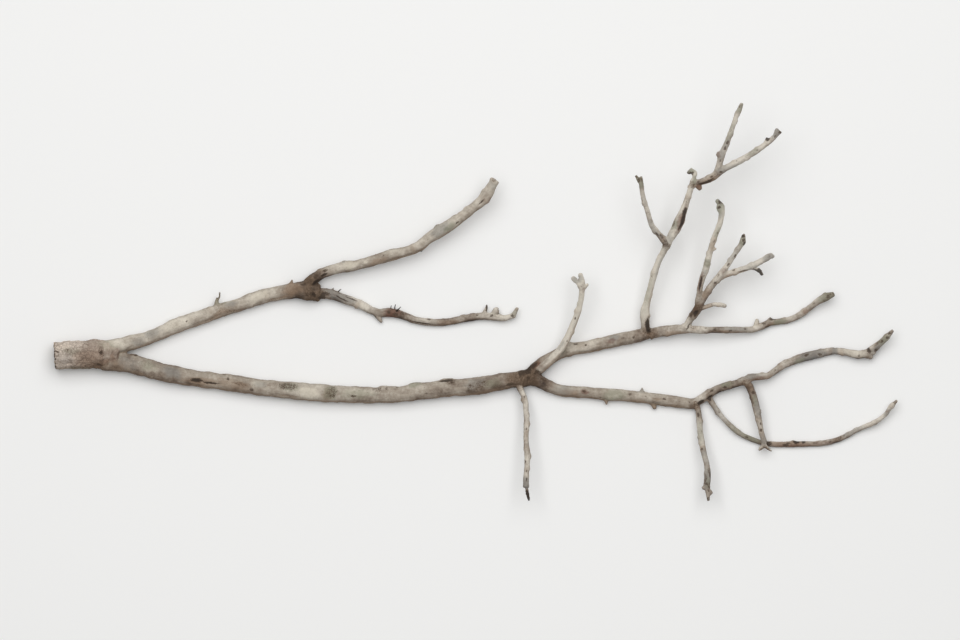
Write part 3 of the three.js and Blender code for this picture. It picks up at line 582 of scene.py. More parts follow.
def fade(tree, value, low, high, start=0.0, end=1.0):
    inputs = {"Value": value, 1: low, 2: high, 3: start, 4: end}
    return addNode(tree, "ShaderNodeMapRange", inputs, interpolation_type="SMOOTHSTEP").outputs[0]


def addSockets(tree, inputs, outputs):
    kinds = {"Float": "NodeSocketFloat", "Vector": "NodeSocketVector", "Colour": "NodeSocketColor",
             "Geometry": "NodeSocketGeometry", "Integer": "NodeSocketInt", "Material": "NodeSocketMaterial"}
    for direction, sockets in (("INPUT", inputs), ("OUTPUT", outputs)):
        for name, kind, *value in sockets:
            made = tree.interface.new_socket(name, in_out=direction, socket_type=kinds[kind])
            if value:
                made.default_value = value[0]


# a tree that works on the shape, with its material and any other inputs
def newShapeTree(name, inputs):
    tree = bpy.data.node_groups.new(name, "GeometryNodeTree")
    addSockets(tree, [("Geometry", "Geometry"), ("Material", "Material"), *inputs], [("Geometry", "Geometry")])
    return tree, addNode(tree, "NodeGroupInput").outputs


# every tree ends here: plain mesh, in its material
def finishTree(tree, shape, material):
    real = addNode(tree, "GeometryNodeRealizeInstances", {0: shape})
    dressed = addNode(tree, "GeometryNodeSetMaterial", {"Geometry": real.outputs[0], "Material": material})
    addNode(tree, "NodeGroupOutput", {0: dressed.outputs[0]})
    return tree


def readField(tree, name, kind="FLOAT"):
    made = addNode(tree, "GeometryNodeInputNamedAttribute", {"Name": name}, data_type=kind)
    return next(s for s in made.outputs if s.enabled)


def storeFields(tree, shape, values):
    for name, value in values.items():
        stored = addNode(tree, "GeometryNodeStoreNamedAttribute",
                         {"Geometry": shape, "Name": name, "Value": value})
        shape = stored.outputs[0]
    return shape


def setPosition(tree, shape, key, vector):
    return addNode(tree, "GeometryNodeSetPosition", {"Geometry": shape, key: vector}).outputs[0]


def applyTree(thing, tree, values):
    modifier = thing.modifiers.new(tree.name, "NODES")
    modifier.node_group = tree
    for item in tree.interface.items_tree:
        if item.item_type == "SOCKET" and item.in_out == "INPUT" and item.name in values:
            modifier[item.identifier] = values[item.name]
    return flatten(thing)


def flatten(thing):
    graph = bpy.context.evaluated_depsgraph_get()
    mesh = bpy.data.meshes.new_from_object(thing.evaluated_get(graph))
    thing.modifiers.clear()
    thing.data = mesh
    return thing


def addObject(name, mesh):
    made = bpy.data.objects.new(name, mesh)
    bpy.context.scene.collection.objects.link(made)
    return made


def readPoints(mesh):
    found = np.empty(len(mesh.vertices) * 3, np.float32)
    mesh.vertices.foreach_get("co", found)
    return found.reshape(-1, 3).astype(float)


def readNormals(mesh):
    found = np.empty(len(mesh.vertices) * 3, np.float32)
    mesh.vertex_normals.foreach_get("vector", found)
    return found.reshape(-1, 3).astype(float)


def writeAttribute(mesh, name, values):
    kind, key = ("FLOAT", "value") if values.ndim == 1 else ("FLOAT_VECTOR", "vector")
    layer = mesh.attributes.get(name) or mesh.attributes.new(name, kind, "POINT")
    layer.data.foreach_set(key, values.astype(np.float32).ravel())


def readAttribute(mesh, name):
    layer = mesh.attributes[name]
    wide = 3 if layer.data_type == "FLOAT_VECTOR" else 1
    found = np.empty(len(mesh.vertices) * wide, np.float32)
    layer.data.foreach_get("vector" if wide == 3 else "value", found)
    return found.reshape(-1, wide) if wide == 3 else found


def smoothStep(values):
    t = np.clip(values, 0, 1)
    return t * t * (3 - 2 * t)


def unit(vectors):
    return vectors / np.linalg.norm(vectors, axis=-1, keepdims=True)


# the way to the left of a limb's growth, and the way up from its top
def acrossLimb(ahead):
    left = unit(np.cross([0, 0, 1.0], ahead))
    return left, np.cross(ahead, left)


# values for each step of a limb's axis, read at places along it
def readSteps(trace, values, along):
    middles = (trace["lengths"][:-1] + trace["lengths"][1:]) / 2
    return np.stack([np.interp(along, middles, values[:, k]) for k in range(3)], 1)


def mergedCopy(name):
    copy = bmesh.new()
    copy.from_mesh(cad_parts[name].data)
    bmesh.ops.remove_doubles(copy, verts=copy.verts, dist=skin["weldDistance"])
    copy.normal_update()
    return copy


# the distance along the surface from where the limb grows
def walkFromBase(copy, start):
    far = [math.inf] * len(copy.verts)
    queue = [(0.0, i) for i in start]
    for i in start:
        far[i] = 0.0
    while queue:
        gone, i = heapq.heappop(queue)
        if gone > far[i]:
            continue
        vertex = copy.verts[i]
        for edge in vertex.link_edges:
            other = edge.other_vert(vertex)
            reached = gone + (other.co - vertex.co).length
            if reached < far[other.index]:
                far[other.index] = reached
                heapq.heappush(queue, (reached, other.index))
    return np.array(far)


# the limb's axis, through the middles of the rings of points that lie equally far from its base
def traceLimb(name, parent, surfaces):
    copy = mergedCopy(name)
    long = [edge for edge in copy.edges if edge.calc_length() > skin["traceStep"]]
    bmesh.ops.subdivide_edges(copy, edges=long, cuts=skin["traceCuts"])
    bmesh.ops.triangulate(copy, faces=copy.faces)
    copy.verts.ensure_lookup_table()
    copy.verts.index_update()
    places = np.array([v.co for v in copy.verts])
    if parent is None:
        start = np.nonzero(places[:, 0] < places[:, 0].min() + skin["joinReach"])[0]
    else:
        reach = [surfaces[parent].find_nearest(v.co)[3] for v in copy.verts]
        start = np.nonzero(np.array(reach) < skin["joinReach"])[0]
    far = walkFromBase(copy, start.tolist())
    copy.free()
    step = skin["ringStep"] * skin["traceStep"]
    axis = []
    for k in range(int(far.max() / step)):
        ring = places[(far >= k * step) & (far < (k + 1) * step)]
        if len(ring) > skin["ringPoints"]:
            middle = np.median(ring, 0)
            out = np.linalg.norm(ring - middle, axis=1)
            ring = ring[out < skin["stubOut"] * np.median(out)]
            axis.append(0.5 * ring.mean(0) + 0.25 * (ring.min(0) + ring.max(0)))
    axis = np.array(axis)
    for _ in range(2):
        axis[1:-1] = (axis[:-2] + 2 * axis[1:-1] + axis[2:]) / 4
    axis = np.vstack([2 * axis[0] - axis[1], axis, places[far.argmax()]])
    near, along, out = nearestOnAxis(places, axis)
    lengths = np.concatenate([[0], np.cumsum(np.linalg.norm(np.diff(axis, axis=0), axis=1))])
    girths = np.array([np.median(out[np.abs(along - s) < step]) if (np.abs(along - s) < step).any() else 0
                       for s in lengths])
    return {"axis": axis, "lengths": lengths, "length": lengths[-1], "girths": girths, "samples": places}


# for each point: its place on the axis, how far along that is, and its distance from the axis
def nearestOnAxis(points, axis):
    starts, steps = axis[:-1], np.diff(axis, axis=0)
    squares = (steps ** 2).sum(1)
    lengths = np.concatenate([[0], np.cumsum(np.sqrt(squares))])
    best = np.full(len(points), np.inf)
    near, along = np.zeros_like(points), np.zeros(len(points))
    for k in range(len(steps)):
        t = np.clip((points - starts[k]) @ steps[k] / squares[k], 0, 1)
        place = starts[k] + t[:, None] * steps[k]
        out = np.linalg.norm(points - place, axis=1)
        closer = out < best
        best[closer] = out[closer]
        near[closer] = place[closer]
        along[closer] = lengths[k] + t[closer] * math.sqrt(squares[k])
    return near, along, best


def growSkin():
    whole = bmesh.new()
    for name in limbs:
        copy = mergedCopy(name)
        grown = [v.co + v.normal * skin["overlap"] for v in copy.verts]
        for v, place in zip(copy.verts, grown):
            v.co = place
        mesh = bpy.data.meshes.new(name)
        copy.to_mesh(mesh)
        whole.from_mesh(mesh)
        copy.free()
    mesh = bpy.data.meshes.new("skin")
    whole.to_mesh(mesh)
    whole.free()
    grown = addObject("skin", mesh)
    remesh = grown.modifiers.new("grow together", "REMESH")
    remesh.mode = "VOXEL"
    remesh.voxel_size = skin["voxel"]
    return flatten(grown)


# which limb each point belongs to: the samples settle most of them, the surfaces the rest
def limbOfEach(points, traces, surfaces):
    names = list(limbs)
    samples = np.vstack([traces[n]["samples"] for n in names])
    owner = np.repeat(np.arange(len(names)), [len(traces[n]["samples"]) for n in names])
    search = KDTree(len(samples))
    for i, place in enumerate(samples):
        search.insert(place, i)
    search.balance()
    found = np.zeros(len(points), np.int32)
    for i, point in enumerate(points):
        close = {owner[k] for _, k, _ in search.find_n(point, skin["nearestSamples"])}
        if len(close) == 1:
            found[i] = close.pop()
        else:
            found[i] = min(close, key=lambda k: surfaces[names[k]].find_nearest(point)[3])
    return found


def faceCorners(mesh):
    corners = np.empty(len(mesh.loops), np.int32)
    mesh.loops.foreach_get("vertex_index", corners)
    starts = np.empty(len(mesh.polygons), np.int32)
    mesh.polygons.foreach_get("loop_start", starts)
    return corners, starts


# turn about the limb from its top, and the place in the limb's own space
def placeOnLimb(points, trace):
    near, along, out = nearestOnAxis(points, trace["axis"])
    steps = np.diff(trace["axis"], axis=0) / np.diff(trace["lengths"])[:, None]
    left, top = acrossLimb(unit(readSteps(trace, steps, along)))
    outward = points - near
    across, up = (outward * left).sum(1), (outward * top).sum(1)
    girth = np.interp(along, trace["lengths"], trace["girths"])
    return {"along": along, "turn": np.arctan2(across, up), "girth": girth, "out": out,
            "place": np.stack([across, up, along], 1)}


# how far round the limb each point is from a side, from half a turn back to half a turn on
def turnFrom(on, side):
    return (on["turn"] - math.radians(side) + math.pi) % (2 * math.pi) - math.pi


markShape = {"edge": 1.5, "wander": (0.1, 0.08), "lipAt": 1.3, "lipWidth": 0.6}


def paintMarks(limb, on, trace):
    painted = {name: np.zeros(len(on["along"])) for name in (*maskNames, "crazed", "height")}
    marks = [(kind, *mark) for kind, group in limb["marks"].items() for mark in group]
    for kind, at, side, length, width, *given in marks:
        strength = given[0] if given else 1.0
        ahead = (on["along"] - at * trace["length"]) / (length * mm / 2)
        aside = turnFrom(on, side) * on["girth"] / (width * mm / 2)
        bearing = np.arctan2(aside, ahead)
        slow, quick = markShape["wander"]
        wander = 1 + slow * np.sin(2 * bearing + 40 * at) + quick * np.sin(5 * bearing + side)
        away = np.hypot(ahead, aside) * wander
        cover = smoothStep(markShape["edge"] - away) * strength
        for name, value in markKinds[kind].items():
            if name == "height":
                painted[name] += cover * value * mm
            elif name == "lip":  # a swollen rim
                rim = smoothStep(1 - np.abs(away - markShape["lipAt"]) / markShape["lipWidth"])
                painted["height"] += rim * strength * value * mm
            else:
                painted[name] = np.maximum(painted[name], cover * value)
    return painted


def mixColour(tree, amount, first, second, blend="MIX"):
    made = addNode(tree, "ShaderNodeMix", {0: amount, 6: first, 7: second}, data_type="RGBA", blend_type=blend)
    return made.outputs[2]


def ramp(tree, value, stops):
    made = addNode(tree, "ShaderNodeValToRGB", {0: value})
    elements = made.color_ramp.elements
    while len(elements) < len(stops):
        elements.new(0.5)
    for element, (at, colour) in zip(elements, stops):
        element.position = at
        element.color = colour
    return made.outputs[0]


def noiseAt(tree, vector, scale, detail=3.0, roughness=0.55):
    inputs = {"Vector": vector, "Scale": scale, "Detail": detail, "Roughness": roughness}
    return addNode(tree, "ShaderNodeTexNoise", inputs).outputs[0]


def readLayer(tree, name, output="Fac"):
    return addNode(tree, "ShaderNodeAttribute", attribute_name=name).outputs[output]


def newGroup(name, inputs, output):
    tree = bpy.data.node_groups.new(name, "ShaderNodeTree")
    addSockets(tree, inputs, [output])
    return tree, addNode(tree, "NodeGroupInput").outputs


def finishGroup(tree, value):
    addNode(tree, "NodeGroupOutput", {0: value})
    return tree


def useGroup(tree, name, inputs):
    return addNode(tree, "ShaderNodeGroup", inputs, node_tree=groups[name]).outputs[0]


def srgb(*levels):
    shares = [level / 255 for level in levels]
    return (*[c / 12.92 if c <= 0.04 else ((c + 0.055) / 1.055) ** 2.4 for c in shares], 1)


barkColours = {
    "darkest": srgb(64, 53, 46),
    "brown": srgb(116, 102, 90),
    "middle": srgb(161, 151, 139),
    "pale": srgb(207, 200, 188),
    "grey": srgb(136, 135, 131),
    "green": srgb(131, 132, 114),
    "tan": srgb(142, 118, 96),
    "red": srgb(104, 68, 54),
    "cream": srgb(216, 209, 194),
    "crack": srgb(82, 68, 56),
    "deep": srgb(84, 69, 56),
    "black": srgb(44, 36, 31),
}

# the ground colours from dark to pale, and the scale and strength of the mottling over them
ground = {
    "stops": ((0, "darkest"), (0.3, "brown"), (0.62, "middle"), (1, "pale")),
    "broadScale": 70.0, "broadShare": 1.6, "closeScale": 330.0, "closeShare": 0.85, "fibreScale": 420.0,
}

# what each mask paints, in which colour, and the scale and strength of its patches
patches = {"pale": ("cream", 150.0, 0.6), "brown": ("tan", 140.0, 0.5), "grey": ("grey", 130.0, 0.58),
           "green": ("green", 160.0, 0.6), "red": ("red", 300.0, 0.7)}
patchEdge = {"Raggedness": 1.3, "Softness": 0.6}
darkEdge = {"Scale": 650.0, "Raggedness": 1.6, "Softness": 0.22}
darkPaint = {"strength": 0.88, "blackFrom": 0.4}
# settings for the fine cracks and specks, and the facing at which the painted light neither pales nor darkens
# the bark
fineWearAndLight = {"paintedLightMiddle": 0.45, "crackWidth": 0.09, "crazedCracks": 0.45, "openCracks": 0.7,
            "speckStrength": 0.5}
closeRelief = {"grainScale": 900.0, "fibreScale": 700.0, "fibreShare": 0.8, "crackShare": 1.2, "endShare": 1.5,
               "depth": 0.4 * mm, "roughScale": 500.0, "roughSpread": 0.25}


# the bark's ground colour, mottled, from how pale the limb is there
def makeToneGroup():
    tree, given = newGroup("bark tone", [("Place", "Vector"), ("Fibre Place", "Vector"),
                                         ("Paleness", "Float", 0.5), ("Mottle", "Float", 0.5),
                                         ("Fibre", "Float", 0.3)], ("Colour", "Colour"))
    broad = minus(tree, noiseAt(tree, given["Place"], ground["broadScale"], 2), 0.5)
    close = minus(tree, noiseAt(tree, given["Place"], ground["closeScale"], 4, 0.65), 0.5)
    lines = minus(tree, noiseAt(tree, given["Fibre Place"], ground["fibreScale"], 3, 0.6), 0.5)
    mixed = plus(tree, times(tree, broad, ground["broadShare"]), times(tree, close, ground["closeShare"]))
    uneven = plus(tree, times(tree, mixed, given["Mottle"]), times(tree, lines, given["Fibre"]))
    tone = plus(tree, given["Paleness"], uneven)
    return finishGroup(tree, ramp(tree, tone, [(at, barkColours[name]) for at, name in ground["stops"]]))


# turns a soft mask into a patch with ragged, flecked edges
def makePatchGroup():
    tree, given = newGroup("ragged patch", [("Mask", "Float"), ("Place", "Vector"), ("Scale", "Float", 300.0),
                                            ("Raggedness", "Float", 0.8), ("Softness", "Float", 0.25)],
                           ("Mask", "Float"))
    middle, leastMask = 0.45, 0.15
    rough = minus(tree, noiseAt(tree, given["Place"], given["Scale"], 4, 0.6), 0.5)
    torn = plus(tree, given["Mask"], times(tree, rough, given["Raggedness"]))
    shown = fade(tree, torn, minus(tree, middle, given["Softness"]), plus(tree, middle, given["Softness"]))
    return finishGroup(tree, times(tree, shown, fade(tree, given["Mask"], 0.0, leastMask)))


# small dark specks
def makeSpeckGroup():
    tree, given = newGroup("specks", [("Place", "Vector"), ("Scale", "Float", 400.0), ("Share", "Float", 0.2)],
                           ("Mask", "Float"))
    dotEdge, dotMiddle = 0.42, 0.2
    cells = addNode(tree, "ShaderNodeTexVoronoi", {"Vector": given["Place"], "Scale": given["Scale"]}).outputs
    chosen = addNode(tree, "ShaderNodeSeparateColor", {0: cells["Color"]}).outputs[0]
    present = maths(tree, "LESS_THAN", chosen, given["Share"])
    return finishGroup(tree, times(tree, present, fade(tree, cells["Distance"], dotEdge, dotMiddle)))


# a net of fine cracks
def makeCrackGroup():
    tree, given = newGroup("fine cracks", [("Place", "Vector"), ("Scale", "Float", 300.0),
                                           ("Width", "Float", 0.08)], ("Mask", "Float"))
    bendScale, bendReach = 220.0, 0.004
    bend = addNode(tree, "ShaderNodeTexNoise", {"Vector": given["Place"], "Scale": bendScale, "Detail": 2.0})
    shift = vectorMaths(tree, "SCALE", bend.outputs["Color"], bendReach)
    bent = vectorMaths(tree, "ADD", given["Place"], shift)
    cells = addNode(tree, "ShaderNodeTexVoronoi", {"Vector": bent, "Scale": given["Scale"]},
                    feature="DISTANCE_TO_EDGE")
    return finishGroup(tree, fade(tree, cells.outputs[0], given["Width"], 0.0))


groups = {"tone": makeToneGroup(), "patch": makePatchGroup(), "specks": makeSpeckGroup(),
          "cracks": makeCrackGroup()}

# end grain on the sawn face: rings round the pith, checks that run out from it, a dark line under the bark
# (lengths in millimetres)
endGrain = {
    "ringGap": 1.5, "ringStrength": 0.55, "wander": 2.2, "wanderScale": 90.0, "fleckScale": 1400.0,
    "fleckStrength": 0.5, "checkStart": 1.0, "checkFull": 5.0, "checkStrength": 0.8, "barkLine": 1.6,
    "pithSize": 1.6, "edgeScale": 500.0, "edgeWander": 1.2, "edge": (0.7, 0.4),
    "wood": srgb(186, 166, 142), "ring": srgb(150, 128, 104), "line": srgb(74, 58, 46),
    "pith": srgb(96, 74, 56),
}


def addEndGrain(tree, place, inLimb, colour):
    grain = endGrain
    flat = vectorMaths(tree, "MULTIPLY", inLimb, (1, 1, 0))
    drift = maths(tree, "MULTIPLY_ADD", noiseAt(tree, flat, grain["wanderScale"], 2), grain["wander"] * mm,
                  -0.5 * grain["wander"] * mm)
    fromPith = addNode(tree, "ShaderNodeVectorMath", {0: flat}, operation="LENGTH").outputs["Value"]
    radius = plus(tree, fromPith, drift)
    turns = maths(tree, "SINE", times(tree, radius, 2 * math.pi / (grain["ringGap"] * mm)))
    rings = fade(tree, turns, -0.2, 1.0)
    wood = mixColour(tree, times(tree, rings, grain["ringStrength"]), grain["wood"], grain["ring"])
    flecks = fade(tree, noiseAt(tree, place, grain["fleckScale"], 3), 0.5, 0.8)
    wood = mixColour(tree, times(tree, flecks, grain["fleckStrength"]), wood, grain["ring"])
    checks = fade(tree, noiseAt(tree, vectorMaths(tree, "NORMALIZE", flat), 5.0, 2), 0.6, 0.66)
    checks = times(tree, checks, fade(tree, fromPith, grain["checkStart"] * mm, grain["checkFull"] * mm))
    wood = mixColour(tree, times(tree, checks, grain["checkStrength"]), wood, grain["line"])
    pith = fade(tree, radius, grain["pithSize"] * mm, 0.3 * grain["pithSize"] * mm)
    wood = mixColour(tree, pith, wood, grain["pith"])
    underBark = minus(tree, readLayer(tree, "girth"), radius)
    barkLine = fade(tree, underBark, grain["barkLine"] * mm, 0.4 * grain["barkLine"] * mm)
    wood = mixColour(tree, barkLine, wood, grain["line"])
    ragged = maths(tree, "MULTIPLY_ADD", noiseAt(tree, place, grain["edgeScale"], 3), grain["edgeWander"] * mm,
                   -0.5 * grain["edgeWander"] * mm)
    torn = plus(tree, readLayer(tree, "sawnGap"), ragged)
    sawn = fade(tree, torn, *(edge * mm for edge in grain["edge"]))
    relief = times(tree, minus(tree, times(tree, rings, -0.6), checks), sawn)
    return mixColour(tree, sawn, colour, wood), relief


def makeBarkMaterial(name, finish):
    material = bpy.data.materials.new(name)
    material.use_nodes = True
    tree = material.node_tree
    shader = tree.nodes["Principled BSDF"]
    place = addNode(tree, "ShaderNodeTexCoord").outputs["Object"]
    inLimb = readLayer(tree, "limbPlace", "Vector")
    alongFibre = vectorMaths(tree, "MULTIPLY", inLimb, (1, 1, 0.1))
    # painted light: paler where the bark faces the light, darker where it faces away
    paintedLightShift = maths(tree, "MULTIPLY_ADD", readLayer(tree, "weather"), finish["paintedLight"],
                     -fineWearAndLight["paintedLightMiddle"] * finish["paintedLight"])
    weathered = maths(tree, "MULTIPLY_ADD", readLayer(tree, "raised"), finish["wear"], finish["lift"])
    paleness = plus(tree, readLayer(tree, "paleness"), paintedLightShift, weathered)
    fibre = times(tree, readLayer(tree, "clearOfFork"), finish["fibre"])
    colour = useGroup(tree, "tone", {"Place": place, "Fibre Place": alongFibre, "Paleness": paleness,
                                     "Mottle": finish["mottle"], "Fibre": fibre})
    for layer, (paint, scale, strength) in patches.items():
        patch = useGroup(tree, "patch", {"Mask": readLayer(tree, layer), "Place": place, "Scale": scale,
                                         **patchEdge})
        colour = mixColour(tree, times(tree, patch, strength), colour, barkColours[paint])
    cracks = useGroup(tree, "cracks", {"Place": place, "Scale": finish["crackScale"],
                                       "Width": fineWearAndLight["crackWidth"]})
    crazing = times(tree, readLayer(tree, "crazed"), fineWearAndLight["crazedCracks"])
    fineLine = times(tree, cracks, plus(tree, crazing, finish["cracks"]))
    openLine = times(tree, readLayer(tree, "cracked"), fineWearAndLight["openCracks"])
    crackLine = maths(tree, "MAXIMUM", fineLine, openLine)
    colour = mixColour(tree, crackLine, colour, barkColours["crack"])
    specks = useGroup(tree, "specks", {"Place": place, "Scale": finish["speckScale"],
                                       "Share": finish["specks"]})
    colour = mixColour(tree, times(tree, specks, fineWearAndLight["speckStrength"]), colour, barkColours["darkest"])
    darkness = readLayer(tree, "dark")
    dark = useGroup(tree, "patch", {"Mask": darkness, "Place": place, **darkEdge})
    blackened = fade(tree, darkness, darkPaint["blackFrom"], 1.0)
    deep = mixColour(tree, blackened, barkColours["deep"], barkColours["black"])
    colour = mixColour(tree, times(tree, dark, darkPaint["strength"]), colour, deep)
    colour = mixColour(tree, 1.0, colour, (*finish["tint"], 1), "MULTIPLY")
    lines = noiseAt(tree, alongFibre, closeRelief["fibreScale"], 3)
    grain = plus(tree, noiseAt(tree, place, closeRelief["grainScale"], 3),
                 times(tree, lines, closeRelief["fibreShare"]))
    relief = minus(tree, grain, times(tree, crackLine, closeRelief["crackShare"]))
    if finish.get("sawn"):
        colour, endRelief = addEndGrain(tree, place, inLimb, colour)
        relief = plus(tree, relief, times(tree, endRelief, closeRelief["endShare"]))
    rough = maths(tree, "MULTIPLY_ADD", noiseAt(tree, place, closeRelief["roughScale"]),
                  closeRelief["roughSpread"], finish["roughness"] - 0.12)
    bump = addNode(tree, "ShaderNodeBump", {"Height": relief, "Strength": finish["bump"],
                                            "Distance": closeRelief["depth"]})
    tree.links.new(colour, shader.inputs["Base Color"])
    tree.links.new(rough, shader.inputs["Roughness"])
    tree.links.new(bump.outputs[0], shader.inputs["Normal"])
    shader.inputs["Specular IOR Level"].default_value = finish["shine"]
    return material


# lift and wear make the bark paler: all of it, and what stands up from it; the painted light makes it paler on
# the side facing the light and darker on the side away from it
finishes = {
    "butt_bark": {
        "lift": 0.06, "paintedLight": 0.24, "wear": 0.25, "tint": (1.02, 0.95, 0.93), "mottle": 0.5, "fibre": 0.15,
        "cracks": 0.12, "crackScale": 420.0, "specks": 0.1, "speckScale": 700.0, "roughness": 0.9,
        "shine": 0.2, "bump": 0.55, "sawn": True},
    "limb_bark": {
        "lift": 0.0, "paintedLight": 0.17, "wear": 0.22, "tint": (0.995, 0.985, 0.965), "mottle": 0.48, "fibre": 0.32,
        "cracks": 0.1, "crackScale": 300.0, "specks": 0.08, "speckScale": 700.0, "roughness": 0.86,
        "shine": 0.22, "bump": 0.42},
    "twig_bark": {
        "lift": 0.1, "paintedLight": 0.26, "wear": 0.3, "tint": (0.99, 0.985, 0.98), "mottle": 0.64, "fibre": 0.38,
        "cracks": 0.12, "crackScale": 420.0, "specks": 0.12, "speckScale": 800.0, "roughness": 0.84,
        "shine": 0.25, "bump": 0.38},
    "shoot_bark": {
        "lift": 0.2, "paintedLight": 0.22, "wear": 0.3, "tint": (0.995, 0.99, 0.975), "mottle": 0.62, "fibre": 0.35,
        "cracks": 0.06, "crackScale": 420.0, "specks": 0.08, "speckScale": 800.0, "roughness": 0.8,
        "shine": 0.28, "bump": 0.35},
}
materials = {name: makeBarkMaterial(name, finish) for name, finish in finishes.items()}
print("mixed the finishes")


# rounds the limbs and their forks without thinning them: what each blur takes is blurred and given back
def makeSmoothingTree():
    tree, given = newShapeTree("round the limbs", [("Steps", "Integer", 20), ("Tint Steps", "Integer", 20),
                                                   ("Shrink", "Float", 0.0)])
    weight = readField(tree, "softness")
    place = addNode(tree, "GeometryNodeInputPosition").outputs[0]

    def blur(value, kind, steps, **inputs):
        inputs = {"Value": value, "Iterations": given[steps], **inputs}
        made = addNode(tree, "GeometryNodeBlurAttribute", inputs, data_type=kind)
        return next(s for s in made.outputs if s.enabled)

    rounded = blur(place, "FLOAT_VECTOR", "Steps", Weight=weight)
    for _ in range(2):
        lost = vectorMaths(tree, "SUBTRACT", place, rounded)
        rounded = vectorMaths(tree, "ADD", rounded, blur(lost, "FLOAT_VECTOR", "Steps", Weight=weight))
    moved = setPosition(tree, given["Geometry"], "Position", rounded)
    normal = addNode(tree, "GeometryNodeInputNormal").outputs[0]
    back = vectorMaths(tree, "SCALE", normal, times(tree, given["Shrink"], -1.0))
    shape = setPosition(tree, moved, "Offset", back)
    for name in ("paleness", "crazed", "girth", "clearOfFork"):  # these run smoothly on from limb to limb
        shape = storeFields(tree, shape, {name: blur(readField(tree, name), "FLOAT", "Tint Steps")})
    return finishTree(tree, shape, given["Material"])


# heights in millimetres, or as shares of the limb's girth
bark = {
    "Fibre Height": 0.05,  # long ridges that follow the limb
    "Fibre Width": 5.0,
    "Ring Height": 0.12,  # slow swellings along it
    "Ring Length": 16.0,
    "Lump Height": 0.16,
    "Lump Size": 13.0,
    "Grain Height": 0.22,
    "Grain Size": 2.6,
    "Crack Depth": 0.9,
    "Crack Spacing": 6.5,
    "Crack Bend": 0.011,  # metres
}
fibreStretch = (1, 1, 0.12)
ringStretch = (0.35, 0.35, 1)
crackLook = {"bendScale": 140.0, "closedBelow": -0.5, "openAbove": 0.1, "edge": 0.14}
lightSide = (0, 0.78, 0.63)  # the side facing the key light: the bark is painted paler on it and darker away from it


def makeBarkTree():
    tree, given = newShapeTree("raise the bark", [(name, "Float", value) for name, value in bark.items()])

    def noise(vector, size, detail, seed):
        scale = maths(tree, "DIVIDE", 1000.0, size)
        made = addNode(tree, "ShaderNodeTexNoise", {"Vector": vector, "W": seed, "Detail": detail,
                                                    "Scale": scale}, noise_dimensions="4D")
        return maths(tree, "MULTIPLY_ADD", made.outputs[0], 2.0, -1.0)

    inLimb, girth = readField(tree, "limbPlace", "FLOAT_VECTOR"), readField(tree, "girth")
    spread, crazed = readField(tree, "clearOfFork"), readField(tree, "crazed")
    place = addNode(tree, "GeometryNodeInputPosition").outputs[0]
    normal = addNode(tree, "GeometryNodeInputNormal").outputs[0]
    alongFibre = vectorMaths(tree, "MULTIPLY", inLimb, fibreStretch)
    acrossRings = vectorMaths(tree, "MULTIPLY", inLimb, ringStretch)
    fibres = times(tree, noise(alongFibre, given["Fibre Width"], 3, 1.0), given["Fibre Height"])
    rings = times(tree, noise(acrossRings, given["Ring Length"], 1, 2.0), given["Ring Height"])
    lumpy, grainy = noise(place, given["Lump Size"], 2, 3.0), noise(place, given["Grain Size"], 2, 4.0)
    follows = times(tree, plus(tree, fibres, rings), spread)
    shaped = times(tree, plus(tree, follows, times(tree, lumpy, given["Lump Height"])), girth)
    bend = addNode(tree, "ShaderNodeTexNoise", {"Vector": place, "Scale": crackLook["bendScale"],
                                                "Detail": 3.0})
    shift = vectorMaths(tree, "SCALE", bend.outputs["Color"], given["Crack Bend"])
    cells = addNode(tree, "ShaderNodeTexVoronoi", {
        "Vector": vectorMaths(tree, "ADD", place, shift),
        "Scale": maths(tree, "DIVIDE", 1000.0, given["Crack Spacing"])}, feature="DISTANCE_TO_EDGE")
    opened = fade(tree, noise(place, given["Lump Size"], 2, 5.0), crackLook["closedBelow"],
                  crackLook["openAbove"])
    edge = times(tree, fade(tree, cells.outputs[0], 0.0, crackLook["edge"], -1.0, 0.0), opened)
    cracks = times(tree, edge, given["Crack Depth"], crazed)
    fine = times(tree, plus(tree, times(tree, grainy, given["Grain Height"]), cracks), mm)
    height = plus(tree, shaped, fine, readField(tree, "height"))
    facing = addNode(tree, "ShaderNodeVectorMath", {0: normal, 1: lightSide}, operation="DOT_PRODUCT")
    # how high the bark stands, how deep it is cracked and how far it faces the light, for the finishes and
    # their painted light
    noted = storeFields(tree, given["Geometry"], {
        "raised": plus(tree, times(tree, lumpy, 0.5), times(tree, grainy, 0.5)),
        "cracked": times(tree, edge, -1.0, crazed),
        "weather": facing.outputs["Value"],
    })
    raised = setPosition(tree, noted, "Offset", vectorMaths(tree, "SCALE", normal, height))
    # what would sink into the ground is pressed flat on it
    risen = addNode(tree, "GeometryNodeInputPosition").outputs[0]
    parts = addNode(tree, "ShaderNodeSeparateXYZ", {0: risen}).outputs
    above = maths(tree, "MAXIMUM", parts[2], 0.0)
    flat = addNode(tree, "ShaderNodeCombineXYZ", {0: parts[0], 1: parts[1], 2: above})
    return finishTree(tree, setPosition(tree, raised, "Position", flat.outputs[0]), given["Material"])


# lengths in millimetres, the checks' directions in degrees from the top
sawnEnd = {"checks": (12, 95, 150, 228, 305), "checkWidth": 1.3, "checkDepth": 1.6, "sawGap": 3.4,
           "sawDepth": 0.12, "sawWay": (0.8, 0.6, 0), "faceDepth": 1.2, "notchDepth": 2.4, "notchReach": 3.5,
           "notchDark": 0.95, "rim": 0.75, "rimFade": 0.2, "facing": -0.85}


